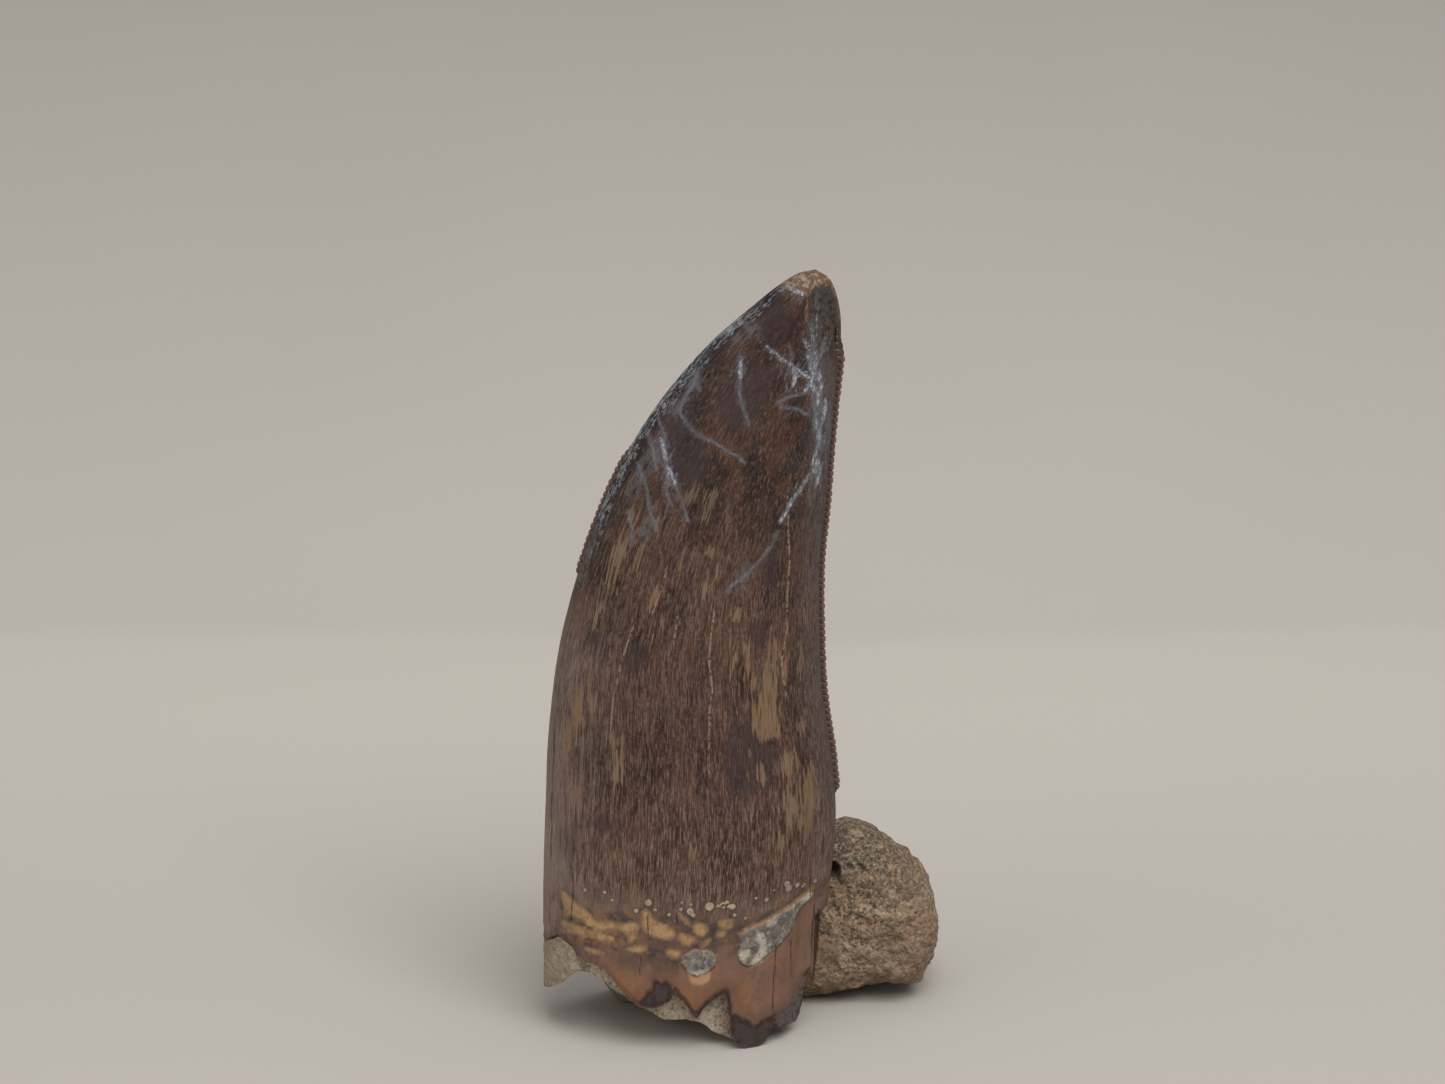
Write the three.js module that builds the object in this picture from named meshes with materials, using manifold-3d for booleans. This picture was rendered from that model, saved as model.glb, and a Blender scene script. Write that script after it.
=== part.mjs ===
// A fossil tooth of a large meat-eating dinosaur, standing on its broken root.
// The crown is a curved blade with saw edges. The root is snapped off in jagged points,
// hardened sediment plugs the hollow inside it, and a lump of the same sandstone clings
// to the back of the root and props the tooth upright.
//
// Millimetres, +Z up. In the tooth's own frame X runs from the front (mesial) edge to the
// rear (distal) saw edge, -Y is the outer (labial) face, and the lowest root point is at Z 0.
// The finished group is moved so that its origin is under the middle of its bounding box.
import * as THREE from "three";
import { mergeVertices } from "three/addons/utils/BufferGeometryUtils.js";
import Module from "manifold-3d";

const wasm = await Module();
wasm.setup();

// ---------------------------------------------------------------- driving dimensions

// Each station is a slice square to the tooth's curved axis, from root to tip:
// [mesial x, mesial z, distal x, distal z, labio-lingual thickness].
const STATIONS = [
  [-14.5, -4.0, 12.4, -4.0, 18.4],
  [-14.7, 5.0, 13.1, 4.5, 18.8],
  [-14.6, 13.0, 13.75, 12.5, 18.6],
  [-14.3, 21.4, 14.45, 20.5, 18.0],
  [-13.95, 28.8, 14.1, 27.0, 17.2],
  [-13.05, 36.6, 13.1, 34.0, 16.2],
  [-11.5, 43.6, 12.75, 41.0, 15.0],
  [-9.25, 50.6, 12.75, 47.3, 13.6],
  [-6.35, 57.2, 13.3, 53.3, 12.0],
  [-2.55, 63.2, 13.7, 59.2, 10.2],
  [2.0, 68.5, 14.25, 65.0, 8.2],
  [6.7, 72.6, 14.8, 69.5, 6.4],
  [8.6, 74.1, 14.8, 72.0, 5.3],
  [10.2, 75.1, 14.1, 74.1, 3.7],
  [11.2, 75.4, 13.2, 75.0, 1.9],
  [12.2, 75.5, 12.2, 75.5, 0.0],
];
const LABIAL_SHARE = 0.52; // of the thickness, in front of the blade's plane
const TIP_LEAN = 1.8; // how far the tip bends towards the lingual side
const FLAT_START = 0.7; // the surface flattens from here to the distal edge, as a share of the half chord
const FLAT_DEPTH = 0.14; // of the half thickness, at the middle of that strip

const BODY_COLUMNS = 44;
const ROWS_PER_STATION = 2;

// The wear facet that ground down the rear of the tip.
const FACET_POINT = new THREE.Vector3(12.0, -0.7, 73.0);
const FACET_NORMAL = new THREE.Vector3(0.72, -0.66, 0.2).normalize();

// Saw edges: a keel along each edge, notched into small chisel-shaped teeth.
const DENTICLE_PITCH = 0.66;
const NOTCH_SHARE = 0.3; // of the pitch, from the bottom of a notch to the tooth's flat crest
const KEEL_HALF_WIDTH = 0.42;
const KEEL_TIP_HALF_WIDTH = 0.16;
const KEEL_DEPTH_IN_BODY = 0.7;
const DISTAL_SAW = { from: 23.2, to: 68.8, valley: 0.34, peak: 0.58 };
const MESIAL_SAW = { from: 44.0, to: 60.0, valley: 0.12, peak: 0.36 };

// The broken lower edge of the root wall, as [x, z] outlines seen from the front.
const WALL = 1.5;
const LABIAL_BREAK = [
  [-17, 9.0], [-14.4, 9.0], [-13.0, 10.4], [-11.6, 9.9], [-11.0, 9.2], [-10.4, 8.6],
  [-8.7, 8.3], [-7.8, 7.7], [-7.2, 6.8], [-6.1, 5.7], [-5.2, 4.8], [-4.6, 4.5],
  [-3.2, 4.6], [-1.8, 5.4], [-1.5, 6.3], [-0.9, 5.7], [0.0, 4.6], [0.4, 3.8],
  [0.8, 3.5], [1.4, 4.6], [2.4, 5.4], [3.4, 6.0], [4.1, 5.7], [4.2, 2.6],
  [4.6, 1.0], [5.4, 0.0], [7.0, 0.0], [7.9, 0.8], [8.0, 2.7], [8.4, 2.6],
  [8.6, 1.8], [9.6, 1.2], [10.5, 1.0], [10.9, 3.1], [11.5, 5.2],
  [12.1, 6.6], [12.15, 11.7], [17, 11.4],
];
const LINGUAL_BREAK = [
  [-17, 9.0], [-14.4, 8.6], [-12.6, 6.2], [-10.6, 4.1], [-8.9, 0.8], [-8.2, 0.0],
  [-4.6, 0.0], [-3.6, 1.8], [-2.2, 3.8], [0.6, 3.0], [2.2, 3.8], [3.8, 6.4],
  [7.5, 8.6], [10.6, 10.6], [17, 11.4],
];

// The sediment plug: its hidden top, and its own broken underside. At the mesial corner, where
// the wall is gone, it fills out to the tooth's own surface.
const PLUG_TOP = 17.5;
const FIT_GAP = 0.3;
const TONGUE_INSET = 0.12;
const TONGUE_REACH = -11.2;
const LABIAL_PLUG_BREAK = [
  [-17, 5.2], [-14.4, 5.2], [-12.9, 5.6], [-12.2, 6.1], [-11.8, 6.9], [-11.1, 7.7],
  [-9.9, 7.3], [-8.7, 6.7], [-7.4, 5.7], [-6.2, 4.8], [-4.0, 3.7], [-2.4, 2.9],
  [0.9, 2.8], [2.3, 1.7], [3.7, 0.9], [5.0, 0.0], [6.2, 0.0], [8.6, 1.0],
  [11.0, 3.6], [17, 8.8],
];
const MIDDLE_PLUG_BREAK = [
  [-17, 3.3], [-14.0, 3.6], [-12.6, 4.8], [-12.2, 5.6], [-9.8, 6.0], [-7.4, 3.8], [-5.2, 1.6],
  [-3.2, 0.0], [6.4, 0.0], [9.0, 1.0], [12.0, 4.2], [17, 8.8],
];
const LINGUAL_PLUG_BREAK = [
  [-17, 3.2], [-13.2, 3.4], [-10.8, 2.6], [-8.0, 0.6], [-6.8, 0.0], [4.8, 0.0],
  [8.0, 1.6], [11.0, 4.2], [17, 8.8],
];

// The sandstone lump: its outline seen from the front, swelled forwards and back.
const LUMP_OUTLINE = [
  [13.3, -0.5], [16.7, 0.3], [19.5, 1.1], [22.9, 0.8], [24.4, 3.0], [25.4, 5.6],
  [25.2, 8.0], [24.3, 10.3], [23.0, 12.5], [21.3, 14.5], [18.5, 16.9], [15.6, 17.0],
  [12.5, 16.0], [8.6, 15.4], [6.0, 12.0], [4.8, 7.8], [4.6, 3.2], [6.2, -0.9],
];
const LUMP_CENTRE = new THREE.Vector3(15.2, 10.4, 7.4);
const LUMP_HALF_DEPTH = 8.0;
const LUMP_FRONT_POWER = 0.52; // 1 swells as an ellipse, less is flatter faced
const LUMP_BACK_POWER = 0.9;
const LUMP_AROUND = 36;
const LUMP_ACROSS = 12;
const LUMP_RELIEF = 0.45;
const LUMP_UNDERCUT = 1.2; // how far the front of the foot is lifted

// From the tooth's own frame to the specimen's: under the middle of its bounding box.
const FRAME_SHIFT = new THREE.Vector3(-5.3, -4.24, 0);

const COLOURS = { enamel: 0x4a382f, plug: 0x9a8d7c, sandstone: 0x83715a };

// ---------------------------------------------------------------- helpers

const edgeCurve = (xColumn, zColumn) =>
  new THREE.CatmullRomCurve3(
    STATIONS.map((s) => new THREE.Vector3(s[xColumn], 0, s[zColumn])),
    false,
    "catmullrom",
  );
const mesialEdge = edgeCurve(0, 1);
const distalEdge = edgeCurve(2, 3);
const thicknessCurve = new THREE.CatmullRomCurve3(
  STATIONS.map((s) => new THREE.Vector3(s[4], 0, 0)),
  false,
  "catmullrom",
);

/** How far the blade's plane has bent towards the lingual side at share t of the way up. */
const leanAt = (t) => TIP_LEAN * t * t * t;

/** A point of the tooth's surface. t runs from root to tip, and angle is 0 at the distal edge. */
function surfacePoint(t, angle, inset = 0) {
  const mesial = mesialEdge.getPoint(t);
  const distal = distalEdge.getPoint(t);
  const chord = distal.clone().sub(mesial);
  const halfChord = Math.max(chord.length() / 2 - inset, 0);
  const halfThickness = Math.max(thicknessCurve.getPoint(t).x / 2 - inset, 0);
  const along = Math.cos(angle);
  const across = Math.sin(angle);
  const strip = THREE.MathUtils.clamp((along - FLAT_START) / (1 - FLAT_START), 0, 1);
  const flattening = FLAT_DEPTH * Math.sin(Math.PI * strip) ** 2;
  const side = across < 0 ? LABIAL_SHARE : 1 - LABIAL_SHARE;
  const depth = 2 * side * halfThickness * (across - Math.sign(across) * flattening);
  const middle = mesial.add(distal).multiplyScalar(0.5);
  return middle
    .addScaledVector(chord.normalize(), along * halfChord)
    .add(new THREE.Vector3(0, leanAt(t) + depth, 0));
}

/** A closed solid from rings of points. The first ring gets a flat cap, and the last closes on one point. */
function ringsToSolid(rings, endPoint) {
  const count = rings[0].length;
  const points = rings.flat();
  const faces = [];
  const at = (row, column) => row * count + (column % count);
  for (let row = 0; row + 1 < rings.length; row++) {
    for (let column = 0; column < count; column++) {
      faces.push(at(row, column), at(row, column + 1), at(row + 1, column + 1));
      faces.push(at(row, column), at(row + 1, column + 1), at(row + 1, column));
    }
  }
  const startCentre = rings[0]
    .reduce((sum, p) => sum.add(p), new THREE.Vector3())
    .divideScalar(count);
  points.push(startCentre, endPoint);
  const last = rings.length - 1;
  for (let column = 0; column < count; column++) {
    faces.push(points.length - 2, at(0, column + 1), at(0, column));
    faces.push(points.length - 1, at(last, column), at(last, column + 1));
  }
  const geometry = new THREE.BufferGeometry().setFromPoints(points);
  geometry.setIndex(faces);
  return toSolid(geometry);
}

/** A manifold-3d solid from a closed three.js geometry. */
function toSolid(geometry) {
  const bare = geometry.clone();
  bare.deleteAttribute("normal");
  bare.deleteAttribute("uv");
  const merged = mergeVertices(bare, 1e-4);
  return new wasm.Manifold(
    new wasm.Mesh({
      numProp: 3,
      vertProperties: new Float32Array(merged.attributes.position.array),
      triVerts: new Uint32Array(merged.index.array),
    }),
  );
}

/** A named three.js mesh from a manifold-3d solid. */
function toMesh(solid, name, colour) {
  const { vertProperties, triVerts } = solid.getMesh();
  const geometry = new THREE.BufferGeometry();
  geometry.setAttribute("position", new THREE.BufferAttribute(vertProperties, 3));
  geometry.setIndex(new THREE.BufferAttribute(triVerts, 1));
  geometry.computeVertexNormals();
  const material = new THREE.MeshStandardMaterial({ color: colour, roughness: 0.7, metalness: 0 });
  const mesh = new THREE.Mesh(geometry, material);
  mesh.name = name;
  return mesh;
}

/** The height of an [x, z] outline at x. */
function heightOf(outline, x) {
  const i = Math.max(outline.findIndex((p) => p[0] >= x), 1);
  const [[x0, z0], [x1, z1]] = [outline[i - 1], outline[i]];
  return THREE.MathUtils.mapLinear(x, x0, x1, z0, z1);
}

/**
 * All the space below an uneven break. The break is given as outlines, each with the depth y it
 * holds at: between two of them the broken surface runs straight.
 */
function belowBreak(breaks) {
  const floor = -12;
  const reach = 14;
  const xs = [...new Set(breaks.flatMap(({ outline }) => outline.map((p) => p[0])))].sort((a, b) => a - b);
  const slices = [{ ...breaks[0], y: -reach }, ...breaks, { ...breaks.at(-1), y: reach }];
  const rings = slices.map(({ y, outline }) => [
    new THREE.Vector3(xs[0], y, floor),
    ...xs.map((x) => new THREE.Vector3(x, y, heightOf(outline, x))),
    new THREE.Vector3(xs.at(-1), y, floor),
  ]);
  return ringsToSolid(rings, new THREE.Vector3(0, reach, floor / 2));
}

// ---------------------------------------------------------------- the tooth

const RING_ANGLES = Array.from(
  { length: BODY_COLUMNS },
  (_, column) => (column / BODY_COLUMNS) * 2 * Math.PI,
);

/** The whole blade as one solid, from below the root up to the tip. */
function bladeSolid(inset = 0) {
  const rows = (STATIONS.length - 1) * ROWS_PER_STATION;
  const rings = [];
  for (let row = 0; row < rows; row++) {
    rings.push(RING_ANGLES.map((angle) => surfacePoint(row / rows, angle, inset)));
  }
  return ringsToSolid(rings, surfacePoint(1, 0, inset));
}

/** The hollow of the root: the blade's own section set in by the wall, closing to a cone above. */
function rootHollow(inset) {
  const topT = 2.2 / (STATIONS.length - 1);
  const rows = 8;
  const rings = [];
  const fullInset = 7.6;
  for (let row = 0; row < rows; row++) {
    const share = row / rows;
    const depthIn = inset + (fullInset - WALL) * share ** 2;
    rings.push(RING_ANGLES.map((angle) => surfacePoint(topT * share, angle, depthIn)));
  }
  return ringsToSolid(rings, new THREE.Vector3(-0.6, 0, PLUG_TOP - (inset - WALL)));
}

/** A keel along one edge of the blade, with a saw-toothed crest. outward is 1 on the distal side. */
function sawKeel(edge, outward, { from, to, valley, peak }) {
  const samples = 400;
  const fine = edge.getSpacedPoints(samples);
  const length = edge.getLength();
  const nearest = (z) => fine.reduce((best, p, i) => (Math.abs(p.z - z) < Math.abs(fine[best].z - z) ? i : best), 0);
  const start = nearest(from) / samples;
  const end = nearest(to) / samples;
  const teeth = Math.round(((end - start) * length) / DENTICLE_PITCH);
  const rings = [];
  const steps = [{ at: 0, height: valley }];
  for (let tooth = 0; tooth < teeth; tooth++) {
    steps.push({ at: tooth + NOTCH_SHARE, height: peak });
    steps.push({ at: tooth + 1 - NOTCH_SHARE, height: peak });
    steps.push({ at: tooth + 1, height: valley });
  }
  for (const { at, height } of steps) {
    const share = start + ((end - start) * at) / teeth;
    const t = edge.getUtoTmapping(share);
    const tangent = edge.getTangentAt(share);
    const out = new THREE.Vector3(tangent.z, 0, -tangent.x).multiplyScalar(outward);
    const base = edge.getPointAt(share).add(new THREE.Vector3(0, leanAt(t), 0));
    const corner = (reach, side) =>
      base.clone().addScaledVector(out, reach).add(new THREE.Vector3(0, side * outward, 0));
    rings.push([
      corner(-KEEL_DEPTH_IN_BODY, -KEEL_HALF_WIDTH),
      corner(height, -KEEL_TIP_HALF_WIDTH),
      corner(height, KEEL_TIP_HALF_WIDTH),
      corner(-KEEL_DEPTH_IN_BODY, KEEL_HALF_WIDTH),
    ]);
  }
  const last = rings.at(-1);
  const endPoint = last.reduce((sum, p) => sum.add(p), new THREE.Vector3()).divideScalar(last.length);
  return ringsToSolid(rings, endPoint);
}

/** The break under the root wall, or a copy of it that much lower. */
function wallBreak(drop = 0) {
  const lowered = (outline) => outline.map(([x, z]) => [x, z - drop]);
  return belowBreak([
    { y: -2.5, outline: lowered(LABIAL_BREAK) },
    { y: 2.5, outline: lowered(LINGUAL_BREAK) },
  ]);
}

function toothSolid() {
  const crown = bladeSolid()
    .add(sawKeel(distalEdge, 1, DISTAL_SAW))
    .add(sawKeel(mesialEdge, -1, MESIAL_SAW));
  const inwards = FACET_NORMAL.clone().negate();
  return crown
    .trimByPlane(inwards.toArray(), inwards.dot(FACET_POINT))
    .subtract(wallBreak())
    .subtract(rootHollow(WALL));
}

// ---------------------------------------------------------------- the sediment plug

function plugSolid() {
  const tongue = bladeSolid(TONGUE_INSET)
    .intersect(wallBreak(FIT_GAP))
    .trimByPlane([-1, 0, 0], -TONGUE_REACH);
  const underside = belowBreak([
    { y: -7.5, outline: LABIAL_PLUG_BREAK },
    { y: 0.5, outline: MIDDLE_PLUG_BREAK },
    { y: 4, outline: LINGUAL_PLUG_BREAK },
  ]);
  return rootHollow(WALL + FIT_GAP).add(tongue).subtract(underside);
}

// ---------------------------------------------------------------- the sandstone lump

/** Low bumps and hollows over the lump, from two crossed waves of direction. */
function lumpRelief(around, across) {
  return LUMP_RELIEF * (Math.sin(3 * around + 2 * across) + 0.7 * Math.sin(5 * around - 3 * across + 1));
}

/** The outline swelled front and back as a boxy ellipse, with a flat foot at Z 0. */
function lumpSolid() {
  const outline = new THREE.CatmullRomCurve3(
    LUMP_OUTLINE.map(([x, z]) => new THREE.Vector3(x, 0, z)),
    true,
    "catmullrom",
  );
  const rings = [];
  for (let row = 1; row < LUMP_ACROSS; row++) {
    const latitude = Math.PI * (0.5 - row / LUMP_ACROSS);
    const power = latitude < 0 ? LUMP_FRONT_POWER : LUMP_BACK_POWER;
    const reach = Math.cos(latitude) ** power;
    const depth = Math.sign(latitude) * Math.abs(Math.sin(latitude)) ** power;
    const ring = [];
    for (let column = 0; column < LUMP_AROUND; column++) {
      const share = column / LUMP_AROUND;
      const around = 2 * Math.PI * share;
      const rim = outline.getPoint(share);
      const relief = lumpRelief(around, latitude) * Math.cos(latitude);
      const radial = new THREE.Vector3(rim.x - LUMP_CENTRE.x, 0, rim.z - LUMP_CENTRE.z);
      const scale = reach * (1 + relief / radial.length() / 2);
      const low = Math.max(0, (-radial.z * scale) / LUMP_HALF_DEPTH);
      ring.push(
        new THREE.Vector3(
          LUMP_CENTRE.x + radial.x * scale,
          LUMP_CENTRE.y + LUMP_HALF_DEPTH * depth + 0.5 * relief,
          LUMP_CENTRE.z + radial.z * scale + LUMP_UNDERCUT * Math.max(0, -depth) * low,
        ),
      );
    }
    rings.push(ring);
  }
  const frontPole = LUMP_CENTRE.clone().sub(new THREE.Vector3(0, LUMP_HALF_DEPTH, 0));
  const foot = [0, 0, 1];
  return ringsToSolid(rings, frontPole)
    .trimByPlane(foot, 0)
    .subtract(bladeSolid(-FIT_GAP));
}

// ---------------------------------------------------------------- the specimen

const specimen = new THREE.Group();
specimen.add(toMesh(toothSolid(), "tooth", COLOURS.enamel));
specimen.add(toMesh(plugSolid(), "matrix_plug", COLOURS.plug));
specimen.add(toMesh(lumpSolid(), "sandstone_lump", COLOURS.sandstone));

specimen.position.copy(FRAME_SHIFT);

export default specimen;
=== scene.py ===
"""A fossil tooth of a large meat-eating dinosaur, with the sediment in its root and a lump of sandstone.

Shapes are worked out in the tooth's own frame in millimetres: X runs from the front (mesial) edge to
the rear (distal) saw edge, -Y is the outer (labial) face and Z is up. They are moved by SHIFT and
scaled to metres when they become meshes.
"""

import logging
import math
from dataclasses import dataclass
from enum import Enum
from typing import Callable

import bpy
import numpy as np
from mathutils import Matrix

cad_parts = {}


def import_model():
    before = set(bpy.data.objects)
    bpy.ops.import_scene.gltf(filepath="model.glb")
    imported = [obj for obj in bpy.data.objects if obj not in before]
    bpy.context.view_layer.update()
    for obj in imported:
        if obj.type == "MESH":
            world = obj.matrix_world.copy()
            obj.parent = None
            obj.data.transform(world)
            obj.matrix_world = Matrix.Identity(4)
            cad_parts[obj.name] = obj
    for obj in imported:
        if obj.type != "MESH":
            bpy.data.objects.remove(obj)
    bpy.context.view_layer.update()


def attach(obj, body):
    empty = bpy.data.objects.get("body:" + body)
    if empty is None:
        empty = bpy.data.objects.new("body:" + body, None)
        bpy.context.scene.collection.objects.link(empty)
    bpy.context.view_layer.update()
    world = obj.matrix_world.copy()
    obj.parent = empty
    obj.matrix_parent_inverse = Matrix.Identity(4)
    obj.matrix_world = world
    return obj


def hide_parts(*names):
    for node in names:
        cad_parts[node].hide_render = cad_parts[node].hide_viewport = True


log = logging.getLogger("fossil_tooth")

MM = 0.001
SHIFT = np.array([-5.3, -4.24, 0.0])
FULL_TURN = 2.0 * math.pi
FAR = 1e3
TINY = 1e-9
WIDEST_FIELD = 9.0
LATTICE = 256
OCTAVE_SHIFT = 17.3

Array = np.ndarray
Place = tuple[float, float]
Span = tuple[float, float]
Point = tuple[float, float, float]
Outline = tuple[Place, ...]
Blots = tuple[tuple[float, float, float, float, float], ...]
Colour = tuple[float, float, float, float]


class Slot(Enum):
    """The record's material slots."""

    TOOTH = "tooth"
    PLUG = "plug"
    SANDSTONE = "sandstone"


# ---------------------------------------------------------------- plain arithmetic on arrays


def ease(low: float, high: float, value: Array) -> Array:
    """Smoothstep: 0 at low, 1 at high, 3s^2 - 2s^3 between, for any array; low may be the larger."""
    share = np.clip((value - low) / (high - low), 0.0, 1.0)
    return share * share * (3.0 - 2.0 * share)


def catmull_rom(knots: Array, share: Array, closed: bool = False) -> Array:
    """A uniform Catmull-Rom curve: on each span a cubic whose end slopes are half the step across a knot.

    Args:
        knots: one row per knot, any number of columns.
        share: how far along, 0 to 1.
        closed: whether the last knot leads back to the first.

    Returns:
        Points, in the shape of share with one more axis for the knots' columns.
    """
    if closed:
        ring = np.vstack([knots[-1], knots, knots[:2]])
        spans = len(knots)
    else:
        ring = np.vstack([2 * knots[0] - knots[1], knots, 2 * knots[-1] - knots[-2]])
        spans = len(knots) - 1
    place = np.clip(share, 0.0, 1.0) * spans
    span = np.minimum(np.floor(place).astype(int), spans - 1)
    f = (place - span)[..., None]
    p0, p1, p2, p3 = (ring[span + k] for k in range(4))
    bend, twist = 2 * p0 - 5 * p1 + 4 * p2 - p3, 3 * p1 - p0 - 3 * p2 + p3
    return 0.5 * (2 * p1 + (p2 - p0) * f + bend * f**2 + twist * f**3)


def gradient_noise(points: Array, seed: int) -> Array:
    """Smooth noise: each corner of a unit lattice has a random slope, and the eight are faded together.

    Args:
        points: places, with x, y and z on the last axis.
        seed: which noise.

    Returns:
        Values of about -0.7 to 0.7, one for each point.
    """
    rng = np.random.default_rng(seed)
    order = np.tile(rng.permutation(LATTICE), 3)
    slopes = rng.normal(size=(LATTICE, 3))
    slopes /= np.linalg.norm(slopes, axis=1)[:, None]
    cell = np.floor(points).astype(int)
    part = points - cell
    cell = cell & (LATTICE - 1)
    fade = part**3 * (part * (part * 6 - 15) + 10)
    total = np.zeros(points.shape[:-1])
    for corner in np.ndindex(2, 2, 2):
        step = np.array(corner)
        key = order[order[order[cell[..., 0] + step[0]] + cell[..., 1] + step[1]] + cell[..., 2] + step[2]]
        rise = np.sum(slopes[key] * (part - step), axis=-1)
        weight = np.prod(np.where(step == 1, fade, 1 - fade), axis=-1)
        total += rise * weight
    return total


def rough(points: Array, size: float, octaves: int, seed: int) -> Array:
    """Noise on noise: each octave is half as big and half as strong as the one before.

    Args:
        points: places in mm.
        size: the size of the largest bumps in mm.
        octaves: how many layers.
        seed: which noise.

    Returns:
        Values of about -1 to 1.
    """
    total = np.zeros(points.shape[:-1])
    for octave in range(octaves):
        finer = 2.0**octave
        total += gradient_noise(points * (finer / size) + OCTAVE_SHIFT * octave, seed + octave) / finer
    return total


def from_piece(places: Array, start: Place, end: Place) -> tuple[Array, Array, Array]:
    """How places lie from one straight piece.

    Args:
        places: x and z of each place in mm.
        start: where the piece starts.
        end: where it ends.

    Returns:
        The piece as a vector, each place's offset from its start, and each one's distance from the piece.
    """
    run = np.array(end) - np.array(start)
    off = places - np.array(start)
    share = np.clip(off @ run / (run @ run), 0.0, 1.0)
    return run, off, np.linalg.norm(off - share[:, None] * run, axis=1)


def line_fields(places: Array, lines: tuple[Outline, ...]) -> tuple[Array, Array]:
    """How far each place is from the nearest of some bent lines, and on which side of it.

    For each straight piece the nearest point is found, and the nearest piece of all wins.

    Args:
        places: x and z of each place in mm.
        lines: the lines' corners.

    Returns:
        The distance, signed by the side of the line, and the plain distance.
    """
    near = np.full(len(places), FAR)
    side = np.full(len(places), FAR)
    for line in lines:
        for start, end in zip(line[:-1], line[1:]):
            run, off, gap = from_piece(places, start, end)
            turn = run[0] * off[:, 1] - run[1] * off[:, 0]
            closer = gap < near
            side = np.where(closer, np.sign(turn) * gap, side)
            near = np.where(closer, gap, near)
    return side, near


def outline_distance(places: Array, outline: Outline) -> Array:
    """Distance to a closed outline, below 0 inside it.

    A place is inside if a line drawn from it towards +X crosses the outline an odd number of times.

    Args:
        places: x and z of each place in mm.
        outline: the corners in order.

    Returns:
        The signed distance of each place in mm.
    """
    near = np.full(len(places), FAR)
    inside = np.zeros(len(places), dtype=bool)
    for start, end in zip(outline, outline[1:] + outline[:1]):
        run, off, gap = from_piece(places, start, end)
        near = np.minimum(near, gap)
        if run[1] != 0.0:
            crosses = (start[1] > places[:, 1]) != (end[1] > places[:, 1])
            inside ^= crosses & (places[:, 0] < start[0] + run[0] * off[:, 1] / run[1])
    return np.where(inside, -near, near)


def rounded(outline: Outline) -> Outline:
    """The outline with its corners cut twice: each side keeps its middle half.

    Args:
        outline: the corners in order.

    Returns:
        Four corners for each one.
    """
    corners = np.array(outline)
    for _ in range(2):
        ahead = np.roll(corners, -1, axis=0)
        cut = [0.75 * corners + 0.25 * ahead, 0.25 * corners + 0.75 * ahead]
        corners = np.stack(cut, axis=1).reshape(-1, 2)
    return tuple(map(tuple, corners.tolist()))


def outlines_distance(places: Array, outlines: tuple[Outline, ...]) -> Array:
    """The smallest of the signed distances to several outlines, their corners rounded."""
    return np.min([outline_distance(places, rounded(outline)) for outline in outlines], axis=0)


def blots_distance(places: Array, blots: Blots) -> Array:
    """Distance to the nearest of some leaning ovals, below 0 inside.

    It is the length of the offset as a share of the radii, less 1, times the shorter radius.

    Args:
        places: x and z of each place in mm.
        blots: [x, z, half width, half height, lean in degrees] of each oval.

    Returns:
        The signed distance of each place in mm.
    """
    near = np.full(len(places), FAR)
    for x, z, wide, high, lean in blots:
        turn = math.radians(lean)
        across = (places[:, 0] - x) * math.cos(turn) - (places[:, 1] - z) * math.sin(turn)
        along = (places[:, 0] - x) * math.sin(turn) + (places[:, 1] - z) * math.cos(turn)
        near = np.minimum(near, (np.hypot(across / wide, along / high) - 1) * min(wide, high))
    return near


# ---------------------------------------------------------------- meshes


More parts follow.
